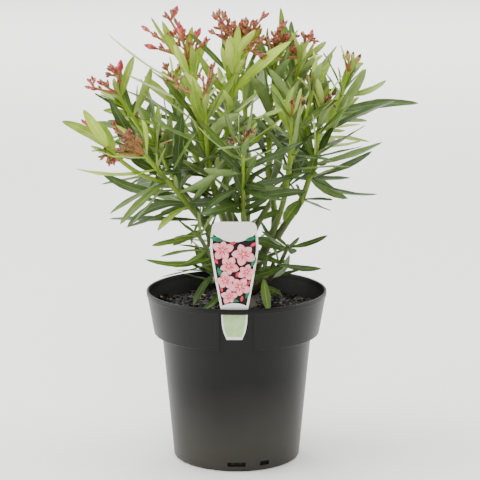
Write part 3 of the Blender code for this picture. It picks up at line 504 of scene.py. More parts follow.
LABEL_FRONT_Y = -95.2  # at the pivot height, where it bears on the inside of the lip
LABEL_PIVOT_Z = 187.0
LABEL_LEAN = math.radians(7.0)
FIT_GAP = 0.3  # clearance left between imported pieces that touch
FOOT_BOUNCE_LIGHT = (105.0, 0.55)  # how high painted floor-bounce light, in dust's colour, reaches up the pot, and its share at the foot
# The inside wall is a lighter black than the outside: painted light on the inner wall.
INSIDE_LIT_COLOUR = "#1d1c1a"
# The recess behind the label is a darker black than the pot: painted shade under the lip.
POCKET_SHADE_COLOUR = "#050505"
POT_CREASE = 32.0
POT_ROUGHNESS = (0.4, 0.5, 0.3)  # outside, inside and in the pocket


def collar_step(inset):
    """The step from the body out to the collar, moved into the pot by an inset: a small hollow, a
    flat shelf, and a rounded lower edge from which the collar rises."""
    slope = (BODY_TOP_RADIUS - BODY_FOOT_RADIUS) / (BODY_TOP_Z - FOOT_CORNER)
    shelf = COLLAR_EDGE_Z + inset
    body = BODY_TOP_RADIUS + slope * (shelf - BODY_TOP_Z) - inset
    hollow = arc((body + COLLAR_NECK_ROUND, shelf - COLLAR_NECK_ROUND), COLLAR_NECK_ROUND, 180, 90, 6)
    edge_radius = COLLAR_FOOT_RADIUS - COLLAR_EDGE_INSET - inset
    edge = arc((edge_radius - COLLAR_EDGE_ROUND, shelf + COLLAR_EDGE_ROUND), COLLAR_EDGE_ROUND, -90, 0, 6)
    foot = (BODY_TOP_RADIUS - inset - slope * STEP_DROP, BODY_TOP_Z - STEP_DROP)
    return [foot] + hollow + edge


def pot_profile(pot):
    """The pot's section in two parts: out along the underside, up the outside and over the lip;
    and down inside to the floor."""
    top, rim, wall = pot.height / MM, pot.rim_radius / MM, pot.wall / MM
    under = [(0, 0), (FOOT_PAD_RADIUS, 0), (FOOT_PAD_RADIUS + 1, FOOT_GROOVE_DEPTH),
             (FOOT_RING_RADIUS, FOOT_GROOVE_DEPTH), (FOOT_RING_RADIUS + 1, 0)]
    corner = arc((BODY_FOOT_RADIUS - FOOT_CORNER, FOOT_CORNER), FOOT_CORNER, -90, 0, 9)
    lip_z = top - pot.lip_height / MM
    inner = COLLAR_TOP_RADIUS - wall
    lip = [(COLLAR_TOP_RADIUS, lip_z)]
    lip += arc((rim - LIP_UNDER_ROUND, lip_z + LIP_UNDER_ROUND), LIP_UNDER_ROUND, -60, 0, 4)
    lip += arc((rim - LIP_OUTER_ROUND, top - LIP_OUTER_ROUND), LIP_OUTER_ROUND, 0, 90, 6)
    lip += arc((inner + LIP_INNER_ROUND, top - LIP_INNER_ROUND), LIP_INNER_ROUND, 90, 180, 5)
    lip.append((inner, lip_z))
    inner_foot = BODY_FOOT_RADIUS - wall
    turn, rise = FLOOR_CORNER
    floor = [(inner_foot - turn, FLOOR_THICKNESS + rise), (inner_foot - FLOOR_EASE, FLOOR_THICKNESS),
             (0, FLOOR_THICKNESS)]
    return under + corner + collar_step(0) + lip, collar_step(wall)[::-1] + floor


def block(low, high):
    """The corners and outward faces of a box."""
    corners = np.array([(x, y, z) for z in (0, 1) for y in (0, 1) for x in (0, 1)], float)
    points = np.array(low) + corners * (np.array(high) - np.array(low))
    faces = [(0, 2, 3, 1), (4, 5, 7, 6), (0, 1, 5, 4), (1, 3, 7, 5), (3, 2, 6, 7), (2, 0, 4, 6)]
    return points, np.array(faces)


def pocket_block():
    """The label pocket's cheeks and back plate as one block that follows the collar's slope."""
    half, back = POCKET_HALF_WIDTH + POCKET_CHEEK, POCKET_BACK_Y + POCKET_PLATE
    points, faces = block((-half, 0, POCKET_FOOT_Z), (half, back, POCKET_TOP_Z))
    for height, collar in ((POCKET_FOOT_Z, POCKET_FOOT_RADIUS), (POCKET_TOP_Z, COLLAR_TOP_RADIUS)):
        front = -math.sqrt((collar - POCKET_SINK) ** 2 - half ** 2)
        points[(points[:, 2] == height) & (points[:, 1] == 0), 1] = front
    return points, faces


def pocket_recess(pot):
    """The open space in front of the pocket's back plate, whose face leans as the label does."""
    top = (pot.height - pot.lip_height) / MM + 0.5
    points, faces = block((-POCKET_HALF_WIDTH, -pot.rim_radius / MM - CUT_ROOM[1], RECESS_FOOT_Z),
                          (POCKET_HALF_WIDTH, POCKET_BACK_Y, top))
    behind = LABEL_FRONT_Y + POCKET_CLEARANCE - (points[:, 2] - LABEL_PIVOT_Z) * math.tan(LABEL_LEAN)
    points[:, 1] = np.where(points[:, 1] == POCKET_BACK_Y, behind, points[:, 1])
    return points, faces


def slot_blocks(pot):
    """Blocks for the drain slots, wide and narrow in turn, turned round the foot."""
    blocks = []
    out, back = -BODY_FOOT_RADIUS - CUT_ROOM[0], -BODY_FOOT_RADIUS + pot.wall / MM + CUT_ROOM[1]
    for index in SLOT_PLACES:
        half = SLOT_WIDTHS[index % 2] / 2
        points, faces = block((-half, out, SLOT_LOW_Z), (half, back, SLOT_LOW_Z + SLOT_HEIGHT))
        turn = np.array(Matrix.Rotation(math.tau * index / SLOT_COUNT, 3, "Z"))
        blocks.append(points @ turn.T)
    return np.stack(blocks), faces


def boolean(target, points, faces, operation, solver="EXACT", finish=()):
    """Join or cut the target with a closed tool, whose finish the new faces take, and leave the
    result as its mesh."""
    shape = Joined()
    shape.add(points, (faces, 0))
    tool = shape.made("tool", finish)
    modifier = target.modifiers.new("boolean", "BOOLEAN")
    modifier.operation, modifier.solver, modifier.object = operation, solver, tool
    modifier.material_mode = "TRANSFER"
    bpy.context.view_layer.update()
    result = bpy.data.meshes.new_from_object(target.evaluated_get(bpy.context.evaluated_depsgraph_get()))
    target.modifiers.clear()
    target.data = result
    bpy.data.objects.remove(tool, do_unlink=True)


class OLEANDER_OT_pot(Operator):
    """Turn the pot, join its label pocket on and cut its openings"""
    bl_idname = "oleander.pot"
    bl_label = "Nursery pot"

    def execute(self, context):
        pot = context.scene.oleander_pot
        outside, inside = pot_profile(pot)
        rings, under, floor = turned(outside + inside, pot.segments)
        paint = np.repeat(np.arange(len(rings) - 1) >= len(outside) - 2, pot.segments)
        shape = Joined()
        shape.add_tubes(rings, under, floor, paint)
        clean, dusty_and_lit = tuple(pot.colour), tuple(pot.dusty_and_lit)
        outer, inner, shaded = POT_ROUGHNESS
        # The outside grows lighter toward its foot: painted light from the floor's bounce, in dust's colour.
        finishes = [moulded_polypropylene("moulded_polypropylene", clean, dusty_and_lit, outer, FOOT_BOUNCE_LIGHT),
                    # The inside's lighter black is painted light on the inner wall.
                    moulded_polypropylene("filmed_polypropylene", linear(INSIDE_LIT_COLOUR), dusty_and_lit, inner)]
        # The recess takes a darker black, which is painted shade under the lip, and a glossier finish.
        pocket = moulded_polypropylene("pocket_polypropylene", linear(POCKET_SHADE_COLOUR), clean, shaded)
        item = shape.made("nursery_pot", finishes)
        boolean(item, *pocket_block(), "UNION", "MANIFOLD")
        boolean(item, *pocket_recess(pot), "DIFFERENCE", finish=[pocket])
        boolean(item, *slot_blocks(pot), "DIFFERENCE")
        item.data.shade_smooth()
        item.data.set_sharp_from_angle(angle=math.radians(POT_CREASE))
        settle(item, ["pot"])
        return {"FINISHED"}


# ---------------- potting mix

MIX_WALL = 2.0  # the pot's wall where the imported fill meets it
MIX_FLAT_RADIUS = 24.0
MIX_DIP = 2.5
MIX_DIP_SPAN = 28.0
MIX_LUMPS = ((0.55, 17.0), (0.4, 6.0), (0.3, 2.6))  # each size of lump: its share, and its spacing
MIX_SEED = 7
MIX_SECTORS = 150
MIX_RINGS = 64
MIX_PEAK = 1.2  # radius of the grid's first ring
MIX_HUB = 2.0  # radius of the last ring underneath
MIX_FOOT = ((2.8, 2.2), (5.5, 0.0))  # the fill's lower corner: how far in from the wall, and up
MIX_CALM = 2.0  # the lumps die away within as much of the wall
CHIP_TONES = (("dark_chip", "#0f0c09", "#221b14"), ("brown_chip", "#281e14", "#453625"),
              ("pale_chip", "#5c5141", "#8a7e68"))
CHIP_SHARES = (0.70, 0.23, 0.07)
CHIP_SIZES = ((2.6, 1.6, 0.7), (6.2, 3.6, 1.9))  # length, width and thickness, least and most
CHIP_SPREAD = 0.42
CHIPS_FROM = 15.0  # clear of the root crown
CHIP_ROOM = 2.5  # clear of the pot's wall
CHIP_TILT = 0.35
CHIP_ROLL = 0.3
CHIP_CORNERS = (0.55, 1.1)  # how far out a chip's corners are drawn
CHIP_CREASE = 25.0
CHIP_LIFT = 0.3  # share of its thickness by which a chip's middle stands over the mix
POCKET_ROOM = (24.0, 6.0)  # how far chips keep clear of the label pocket, aside and behind
POCKET_REACH = 21.2  # how far to each side the fill keeps behind the pocket's plate


def mix_edge():
    """The radius at which the mix meets the pot's wall."""
    slope = (COLLAR_TOP_RADIUS - COLLAR_FOOT_RADIUS) / (POCKET_TOP_Z - COLLAR_FOOT_Z)
    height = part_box("potting_mix")[1][2] / MM - 1.0
    return COLLAR_FOOT_RADIUS - MIX_WALL - FIT_GAP + slope * (height - COLLAR_FOOT_Z)


def mix_height(mix, x, y):
    """The mix's height: level at the plant, dished toward the wall, with lumps of three sizes."""
    draws = np.random.default_rng(MIX_SEED)
    radius = np.hypot(x, y)
    dip = MIX_DIP * np.clip((radius - MIX_FLAT_RADIUS) / MIX_DIP_SPAN, 0, 1) ** 2
    rough = sum(share * lumps(x, y, spacing, draws) for share, spacing in MIX_LUMPS)
    calm = np.clip((mix_edge() + MIX_CALM - radius) / (2 * MIX_CALM), 0, 1)
    return mix.top / MM - dip + mix.relief / MM * rough * calm


def mix_rings(mix):
    """The fill: a lumpy polar grid on top, then rings down the pot's wall and in along its floor."""
    angles = -even_angles(MIX_SECTORS)
    around = np.stack((np.cos(angles), np.sin(angles)), axis=1)
    top = np.linspace(MIX_PEAK, mix_edge(), MIX_RINGS)[:, None, None] * around
    top = np.concatenate((top, mix_height(mix, top[..., 0], top[..., 1])[..., None]), axis=-1)
    foot = FLOOR_THICKNESS + FIT_GAP
    side = collar_step(MIX_WALL + FIT_GAP)[::-1]
    side += [(BODY_FOOT_RADIUS - inset, foot + rise) for inset, rise in MIX_FOOT]
    side = np.array(side + [(MIX_HUB, foot)])
    lower = side[:, None, :1] * around
    heights = np.broadcast_to(side[:, None, 1:], (*lower.shape[:2], 1))
    rings = np.concatenate((top, np.concatenate((lower, heights), axis=-1)))
    pocket = (np.abs(rings[..., 0]) < POCKET_REACH) & (rings[..., 2] > RECESS_FOOT_Z - 1)
    behind = np.maximum(rings[..., 1], POCKET_BACK_Y + POCKET_PLATE + FIT_GAP)
    rings[..., 1] = np.where(pocket, behind, rings[..., 1])
    return rings, mix_height(mix, np.zeros(1), np.zeros(1))[0] * Z_AXIS, foot * Z_AXIS


def chip_points(mix, draws):
    """Bark chips: boxes with their corners drawn about, turned at random and laid on the mix."""
    radius = np.sqrt(draws.uniform(CHIPS_FROM ** 2, (mix_edge() - CHIP_ROOM) ** 2, mix.chips))
    turn = draws.uniform(0, math.tau, mix.chips)
    x, y = radius * np.cos(turn), radius * np.sin(turn)
    clear = (np.abs(x) >= POCKET_ROOM[0]) | (y >= POCKET_BACK_Y + POCKET_ROOM[1])
    x, y = x[clear], y[clear]
    count = len(x)
    size = np.exp(draws.normal(0, CHIP_SPREAD, (count, 1))) * draws.uniform(*CHIP_SIZES, (count, 3))
    corners = block((-0.5, -0.5, -0.5), (0.5, 0.5, 0.5))[0] * size[:, None]
    corners = corners * draws.uniform(*CHIP_CORNERS, (count, 8, 3))
    yaw = draws.uniform(0, math.tau, count)
    lean, roll = draws.normal(0, CHIP_TILT, count), draws.normal(0, CHIP_ROLL, count)
    cos, sin = np.cos(yaw), np.sin(yaw)
    across = unit(np.stack((cos, sin, lean), axis=1))
    up = unit(np.stack((-lean * cos - roll * sin, roll * cos, np.ones(count)), axis=1))
    up = unit(up - across * np.sum(up * across, axis=1, keepdims=True))
    axes = np.stack((across, np.cross(up, across), up), axis=1)
    place = np.stack((x, y, mix_height(mix, x, y) + CHIP_LIFT * size[:, 2]), axis=1)
    return np.einsum("nvk,nkc->nvc", corners, axes) + place[:, None]


class OLEANDER_OT_mix(Operator):
    """Fill the pot with potting mix and scatter bark chips on it"""
    bl_idname = "oleander.mix"
    bl_label = "Potting mix"

    def execute(self, context):
        mix = context.scene.oleander_mix
        shape = Joined()
        shape.add_tubes(*mix_rings(mix))
        settle(shape.made("potting_mix_surface", [composted_bark(mix)]), ["potting_mix"])
        draws = np.random.default_rng(MIX_SEED + 1)
        chips = chip_points(mix, draws)
        tones = draws.choice(len(CHIP_TONES), len(chips), p=CHIP_SHARES)
        faces = block((0, 0, 0), (1, 1, 1))[1]
        shape = Joined()
        for tone in range(len(CHIP_TONES)):
            shape.add(chips[tones == tone], (faces, tone))
        chip_finishes = [bark_chip(*tone) for tone in CHIP_TONES]
        settle(shape.made("bark_chips", chip_finishes, CHIP_CREASE))
        return {"FINISHED"}


# ---------------- label

LABEL_CENTRE_X = -2.2
LABEL_CORNER = 6.0
LABEL_HALF_WIDTHS = ((155.0, 8.0), (162.0, 11.4), (171.5, 13.4), (181.0, 14.0), (188.0, 14.3),
                     (221.5, 20.2), (255.5, 25.5), (271.0, 25.0), (281.0, 23.4), (287.0, 23.0))
LABEL_EASING = (-3.0, -1.5, 0.0, 1.5, 3.0)  # the heights round a point whose widths are averaged
LABEL_TOP_Z = 287.0
LABEL_ROWS = 80
LABEL_CREASE = 30.0
PICTURE_FOOT_Z = 196.6
PICTURE_FOOT_SAG = 3.0
PICTURE_TOP_Z = 264.5
PICTURE_TOP_RISE = 9.0
STUB_Z = (158.0, 186.0)  # the printed stub below the picture
STUB_FOOT = 3.0  # how far the sheet runs on below it
STUB_BORDER = 0.8  # share of the picture's border
SHEET_SHADE = "#eeede4"
PRINT_STEP = 0.03  # how far each printed layer stands off the one under it
MARK_STEP = PRINT_STEP / 3
PETAL_STEP = PRINT_STEP / 12
PRINT_DEPTH = 0.2  # how far the first layers reach into the sheet
PETALS = 5
PETAL_POINTS = 12
PETAL_ROUNDNESS = 0.7  # power that rounds a petal's end
PETAL_TURN = 9.0  # degrees by which a petal's turn is drawn
PETAL_SIZES = (0.85, 1.15)
POINTED_POINTS = 28
POINTED_HOLLOW = 0.35  # how much a pointed mark draws in toward its ends
LEAF_SLIMNESS = 0.36
BUD_SLIMNESS = 0.5

# The inks: each one's number, colour (the petals' is a setting) and the shade that it drifts to.
GROUND, TEAL, PETAL, ROSE, CREAM, STUB, BLUSH = range(7)
INKS = (("ink_ground", "#120b09", "#0a0605"), ("ink_teal", "#23855c", "#155c3c"),
        ("ink_petal", None, "#ea6f80"), ("ink_rose", "#d63c52", "#bd2a41"),
        ("ink_cream", "#f6dca8", "#efc98c"), ("ink_stub", "#b7d49c", "#a2c884"),
        ("ink_blush", "#fbb7b8", "#f59da2"))

# The printed sprig. Each mark: its place, height, radius or half length, and turn in degrees.
BLOSSOMS = ((-12.5, 256.0, 10.5, 12), (9.5, 251.5, 11.5, 38), (-6.0, 238.0, 10.5, 55), (13.0, 232.0, 9.0, 5),
            (-9.5, 221.5, 9.5, 25), (6.0, 215.0, 10.5, 50), (-5.5, 204.5, 8.0, 15))
BUDS_PRINTED = ((-1.5, 263.5, 3.6, 20), (20.0, 262.0, 3.6, 35), (-19.5, 243.5, 3.4, 130),
                (3.0, 228.5, 3.2, 70), (15.5, 219.5, 3.0, 60), (8.0, 201.5, 3.2, 80),
                (-13.5, 212.0, 2.8, 100))
LEAVES_PRINTED = ((-18.5, 268.0, 7.0, 165), (20.5, 243.0, 6.0, 70), (-15.5, 231.0, 6.0, 110),
                  (14.0, 206.5, 5.0, 65), (17.5, 268.5, 6.0, 15), (0.5, 199.5, 4.5, 170))

# A petal's layers: how far out each one's middle stands and its half length, as shares of the
# petal, its slimness and its ink. A throat's layers: share of the radius, depth and ink.
PETAL_LAYERS = ((0.56, 0.48, 0.82, PETAL), (0.66, 0.36, 0.78, BLUSH), (0.36, 0.2, 0.3, ROSE))
THROAT_LAYERS = ((0.22, 0.5, ROSE), (0.12, 0.1, CREAM))


def label_half(heights):
    """The label's half width: eased between its measured heights, and rounded off at its top."""
    table_z, table_half = np.array(LABEL_HALF_WIDTHS).T
    near = np.stack([np.interp(heights + shift, table_z, table_half) for shift in LABEL_EASING])
    above = np.clip(heights - (LABEL_TOP_Z - LABEL_CORNER), 0, LABEL_CORNER)
    return near.mean(axis=0) - LABEL_CORNER + np.sqrt(LABEL_CORNER ** 2 - above ** 2)


def sides_between(low, high, inset, count=30):
    """The right-hand edge from one height to another, moved in by an inset, as x and height."""
    heights = np.linspace(low, high, count)
    return np.stack((label_half(heights) - inset, heights), axis=1)


def closed_outline(right, bottom=None, top=None):
    """An outline from its right edge, mirrored, with curved ends where they are given."""
    left = right[::-1] * (-1, 1)
    parts = [right] if top is None else [right, top]
    parts += [left] if bottom is None else [left, bottom]
    return np.concatenate(parts)


def picture_outline(border):
    """The printed picture: sides inside the border, a top edge that sags and a foot that arches."""
    right = sides_between(PICTURE_FOOT_Z - PICTURE_FOOT_SAG, PICTURE_TOP_Z + PICTURE_TOP_RISE, border)
    share = np.linspace(1, -1, 25)[1:-1]
    top = np.stack((right[-1, 0] * share, PICTURE_TOP_Z + PICTURE_TOP_RISE * share ** 2), axis=1)
    foot = np.stack((-right[0, 0] * share, PICTURE_FOOT_Z - PICTURE_FOOT_SAG * share ** 2), axis=1)
    return closed_outline(right, foot, top)


def rosette(x, z, radius, turn, depth):
    """A blossom's outline: its radius swells to each rounded petal and dips between them."""
    angles = even_angles(PETAL_POINTS * PETALS)
    swell = 1 - depth + depth * np.abs(np.cos(PETALS * angles / 2)) ** PETAL_ROUNDNESS
    turned_by = angles + math.radians(turn)
    return np.stack((x + radius * swell * np.cos(turned_by), z + radius * swell * np.sin(turned_by)), axis=1)


def pointed(x, z, half_length, turn, slimness):
    """A leaf or bud outline: two arcs that meet in a point at each end."""
    angles = even_angles(POINTED_POINTS)
    along = np.cos(angles)
    across = slimness * np.sin(angles) * (1 - POINTED_HOLLOW * along ** 2)
    cos, sin = math.cos(math.radians(turn)), math.sin(math.radians(turn))
    return np.stack((x + half_length * (along * cos - across * sin),
                     z + half_length * (along * sin + across * cos)), axis=1)


def blossom_marks(x, z, radius, turn, draw):
    """A blossom's outlines and their inks: petals in layers, no two alike, then its throat."""
    marks = []
    for petal in range(PETALS):
        angle = turn + 360 / PETALS * petal + draw.uniform(-PETAL_TURN, PETAL_TURN)
        size = radius * draw.uniform(*PETAL_SIZES)
        for reach, half, slimness, ink in PETAL_LAYERS:
            middle = (x + reach * size * math.cos(math.radians(angle)),
                      z + reach * size * math.sin(math.radians(angle)))
            marks.append((pointed(*middle, half * size, angle, slimness), ink))
    return marks + [(rosette(x, z, radius * share, turn, depth), ink) for share, depth, ink in THROAT_LAYERS]


def add_plate(shape, outline, front, back, paint):
    """Add a flat prism that follows the label's lean, between two distances in front of its face."""
    lean = LABEL_FRONT_Y - (outline[:, 1] - LABEL_PIVOT_Z) * math.tan(LABEL_LEAN)
    x = outline[:, 0] + LABEL_CENTRE_X
    points = np.concatenate([np.stack((x, lean - off, outline[:, 1]), axis=1) for off in (front, back)])
    count = len(outline)
    step = np.arange(count)
    after = (step + 1) % count
    shape.add(points, (step[None], paint), ((count + step[::-1])[None], paint),
              (np.stack((step, count + step, count + after, after), axis=1), paint))


class OLEANDER_OT_label(Operator):
    """Cut the plant label and print a sprig of blossoms on it"""
    bl_idname = "oleander.label"
    bl_label = "Plant label"

    def execute(self, context):
        label = context.scene.oleander_label
        border = label.border / MM
        sheet = Joined()
        whole = closed_outline(sides_between(STUB_Z[0] - STUB_FOOT, LABEL_TOP_Z, 0.0, LABEL_ROWS))
        add_plate(sheet, whole, 0.0, -label.thickness / MM, 0)
        white = printed_sheet("white_sheet", tuple(label.sheet), linear(SHEET_SHADE), Coat_Weight=0.2)
        settle(sheet.made("label_sheet", [white], LABEL_CREASE), ["label"])
        inks = [printed_sheet(name, linear(colour) if colour else tuple(label.petals), linear(shade))
                for name, colour, shade in INKS]
        art, layer = Joined(), PRINT_STEP
        add_plate(art, picture_outline(border), layer, -PRINT_DEPTH, GROUND)
        stub = closed_outline(sides_between(*STUB_Z, border * STUB_BORDER))
        add_plate(art, stub, layer, -PRINT_DEPTH, STUB)
        marks = [(pointed(*leaf, LEAF_SLIMNESS), TEAL) for leaf in LEAVES_PRINTED]
        marks += [(pointed(*bud, BUD_SLIMNESS), ROSE) for bud in BUDS_PRINTED]
        for outline, ink in marks:
            layer += MARK_STEP
            add_plate(art, outline, layer, 0, ink)
        draw = random.Random("label")
        for blossom in BLOSSOMS:
            for outline, ink in blossom_marks(*blossom, draw):
                layer += PETAL_STEP
                add_plate(art, outline, layer, 0, ink)
        settle(art.made("label_print", inks, LABEL_CREASE))
        return {"FINISHED"}


# ---------------- growth rule

MIX_TOP_Z = 171.0
CROWN_FOOT = (4.0, 0.0)
CROWN_TOP = (8.0, 2.0, 196.0)
CROWN_FLARE_RADIUS = 18.0
CROWN_NECK_RADIUS = 12.6
CROWN_LOBES = 3
CROWN_LOBE_DEPTH = 0.10
CROWN_LOBE_TURN = 0.6
STEM_RING_RADIUS = 8.3

LIMB_STEPS = 5
FORK_ROOM = 1.08  # room kept between boughs at a fork, against the widest one's radius
LIMB_RISE = 0.6  # how strongly a limb sets off square to its seat before it turns to its end
FINER = 6  # points of a drawn midline to each step of the rule
PATH_SPRING = 0.45  # share of a stem's span over which it keeps to its first heading

# Each limb: its parent, where it ends, its radius at base and tip, and the angle at which it
# stands on the root crown (None is the crown's middle, or a limb that leaves another limb).
Limb = namedtuple("Limb", "name parent end base tip seat")
LIMBS = (
    Limb("left_stem", "root_crown", (-36, -15, 267), 3.9, 3.4, 222),
    Limb("left_high_stem", "root_crown", (-42, 25, 270), 3.4, 2.9, 168),
    Limb("centre_left_stem", "root_crown", (-20, 2, 285), 3.5, 3.0, None),
    Limb("centre_stem", "root_crown", (-10, 14, 280), 3.7, 3.2, 117),
    Limb("back_stem", "root_crown", (12, 42, 238), 4.0, 3.6, 62),
    Limb("right_stem", "root_crown", (42, 3, 252), 4.5, 4.0, 358),
    Limb("front_stem", "root_crown", (7, -40, 292), 3.2, 2.7, 290),
    Limb("right_bough", "right_stem", (70, -5, 288), 3.4, 2.9, None),
    Limb("right_centre_bough", "right_stem", (38, 21, 298), 3.2, 2.8, None),
    Limb("right_inner_bough", "right_stem", (54, -22, 305), 3.0, 2.6, None),
    Limb("back_left_bough", "back_stem", (-34, 76, 300), 3.1, 2.7, None),
    Limb("back_centre_bough", "back_stem", (12, 84, 312), 3.1, 2.7, None),
    Limb("back_right_bough", "back_stem", (56, 68, 298), 3.1, 2.7, None),
)

# Each shoot: the mass it belongs to, what it grows from (a limb, the root crown at an angle,
# or another shoot at a share of its length), its tip, its whorls, leaf length, spread of its
# lowest and highest leaves in degrees, turn of its first whorl, and its bud cluster's number of
# branches (0 is none) and stalk length.
Shoot = namedtuple("Shoot", "mass name source at tip whorls leaf low high turn buds stalk")
SHOOTS = (
    Shoot("left_front", "left_front", "left_stem", 0, (-99, -55, 350), 6, 84, 80, 46, 185, 5, 12),
    Shoot("left_front", "left_tip", "left_front", 0.60, (-136, -66, 358), 2, 74, 62, 40, 150, 2, 8),
    Shoot("right", "right_inner_top", "right_bough", 0, (91, -15, 392), 5, 80, 72, 34, 10, 4, 11),
    Shoot("right", "right_outer_top", "right_inner_top", 0.42, (124, 30, 427), 6, 80, 66, 30, 340, 3, 9),
    Shoot("upper_left", "upper_left", "centre_left_stem", 0, (-53, 12, 437), 8, 80, 68, 36, 160, 6, 38),
    Shoot("top_centre", "top_centre", "centre_stem", 0, (2, 0, 454), 8, 84, 64, 44, 20, 8, 17),
    Shoot("top_right", "top_right", "right_centre_bough", 0, (44, 16, 446), 7, 86, 64, 34, 75, 5, 13),
    Shoot("top_right", "top_right_side", "top_right", 0.5, (70, 8, 444), 4, 74, 52, 28, 30, 4, 16),
    Shoot("left_high", "left_high", "left_high_stem", 0, (-130, 10, 405), 7, 80, 72, 40, 175, 6, 16),
    Shoot("left_high", "left_middle", "left_high", 0.42, (-84, -14, 352), 3, 66, 66, 36, 110, 3, 8),
    Shoot("centre_left", "centre_left", "centre_left_stem", 0, (-34, -28, 404), 6, 80, 70, 30, 140, 4, 11),
    Shoot("right_centre", "right_centre", "right_inner_bough", 0, (60, -46, 388), 5, 78, 70, 34, 65, 4, 11),
    Shoot("right_centre", "right_upper_side", "right_centre", 0.4, (82, -20, 414), 3, 76, 54, 32, 20, 2, 8),
    Shoot("centre_front", "centre_front", "front_stem", 0, (8, -84, 366), 5, 80, 76, 40, 5, 2, 7),
    Shoot("back_left", "back_left", "back_left_bough", 0, (-72, 108, 404), 6, 84, 74, 32, 95, 3, 10),
    Shoot("back_left", "back_far_left", "back_left", 0.4, (-114, 92, 366), 4, 80, 68, 40, 130, 2, 8),
    Shoot("back_centre", "back_centre", "back_centre_bough", 0, (6, 98, 440), 7, 86, 72, 28, 90, 4, 11),
    Shoot("back_centre", "back_low_centre", "back_centre", 0.3, (-10, 146, 374), 4, 80, 70, 42, 100, 2, 8),
    Shoot("back_right", "back_right", "back_right_bough", 0, (72, 96, 412), 6, 84, 74, 32, 80, 3, 10),
    Shoot("back_right", "back_far_right", "back_right", 0.4, (112, 104, 366), 4, 78, 68, 40, 40, 2, 8),
    Shoot("low_left", "low_left", "root_crown", 243, (-42, -46, 262), 6, 74, 90, 66, 180, 0, 0),
    Shoot("low_right", "low_right", "root_crown", 335, (56, -34, 246), 4, 62, 92, 74, 0, 0, 0),
    Shoot("low_back", "low_back", "root_crown", 92, (-16, 72, 244), 5, 76, 86, 56, 90, 0, 0),
    Shoot("foot_left", "foot_left", "root_crown", 212, (-24, -32, 216), 3, 56, 96, 70, 215, 0, 0),
    Shoot("foot_right", "foot_right", "root_crown", 306, (30, -38, 212), 3, 52, 100, 70, 310, 0, 0),
)

# Long leaves that give the crown its outline: where each one's tip reaches, how far its blade
# turns to the front, how much its rib curls toward the blade's face, and its width against the rest.
REACHING_LEAVES = {
    "left_tip": ((-188, -46, 385, 0.5, 0.10, 0.9), (-161, -84, 403, 1.6, -0.06, 1.1),
                 (-137, -40, 410, 0.9, 0.0, 1.0)),
    "left_front": ((-178, -60, 335, 0.1, 0.24, 0.75), (-148, -10, 323, 0.8, 0.06, 0.8),
                   (-142, -4, 270, 0.2, -0.06, 0.75), (-84, -84, 272, 1.1, -0.12, 1.1)),
    "left_high": ((-112, 20, 448, 1.2, -0.05, 1.0), (-128, 30, 432, 0.9, -0.04, 0.85),
                  (-109, 32, 286, 0.3, -0.04, 0.8), (-138, -8, 388, 0.8, 0.0, 0.9)),
    "left_middle": ((-84, -30, 402, 1.2, -0.1, 0.8),),
    "upper_left": ((-142, 10, 474, 0.2, 0.12, 0.55), (-81, 8, 487, 1.5, -0.05, 1.0),
                   (-94, 24, 490, 0.4, 0.05, 0.5), (-48, 18, 480, 1.0, 0.0, 0.8),
                   (-119, -20, 432, 0.6, 0.1, 0.8), (-79, -48, 430, 1.6, -0.1, 1.0)),
    "centre_left": ((-29, 14, 484, 1.0, 0.04, 0.9), (-46, -76, 434, 1.8, -0.05, 1.2),
                    (-92, -60, 392, 0.6, 0.22, 0.8)),
    "top_centre": ((59, -24, 468, 1.5, -0.05, 1.05), (60, 22, 440, 0.8, 0.0, 0.9),
                   (-16, 30, 466, 1.0, 0.0, 0.9)),
    "top_right": ((48, 24, 500, 1.0, 0.0, 0.85), (34, 10, 480, 1.2, -0.05, 0.6),
                  (70, -14, 446, 0.9, 0.0, 1.0)),
    "top_right_side": ((60, 30, 485, 1.0, -0.05, 0.8),),
    "right_centre": ((40, -96, 352, 0.8, 0.0, 1.0), (80, -60, 330, 1.0, 0.05, 0.9)),
    "right_inner_top": ((104, -42, 298, 0.6, 0.04, 0.9), (106, 22, 274, 0.6, -0.05, 0.9),
                        (157, -24, 300, 0.3, 0.2, 0.85), (153, 22, 342, 0.3, 0.2, 0.75)),
    "right_outer_top": ((206, 62, 389, 1.3, 0.12, 1.0), (174, 2, 400, 1.2, 0.06, 1.0),
                        (166, 34, 419, 1.2, 0.08, 0.9), (140, 58, 347, 0.4, 0.08, 0.7),
                        (110, -12, 440, 1.6, -0.04, 1.0), (92, 14, 436, 1.2, -0.16, 1.2)),
    "low_right": ((103, -14, 254, 0.4, 0.25, 0.7), (58, -78, 246, 1.5, -0.08, 1.0),
                  (56, -66, 228, 0.8, -0.05, 0.8)),
    "foot_left": ((-47, -54, 184, 1.4, -0.03, 1.1), (-46, -68, 178, 0.8, 0.1, 0.8)),
    "foot_right": ((35, -60, 179, 1.2, -0.04, 1.2), (50, -44, 192, 1.0, 0.05, 0.8)),
}

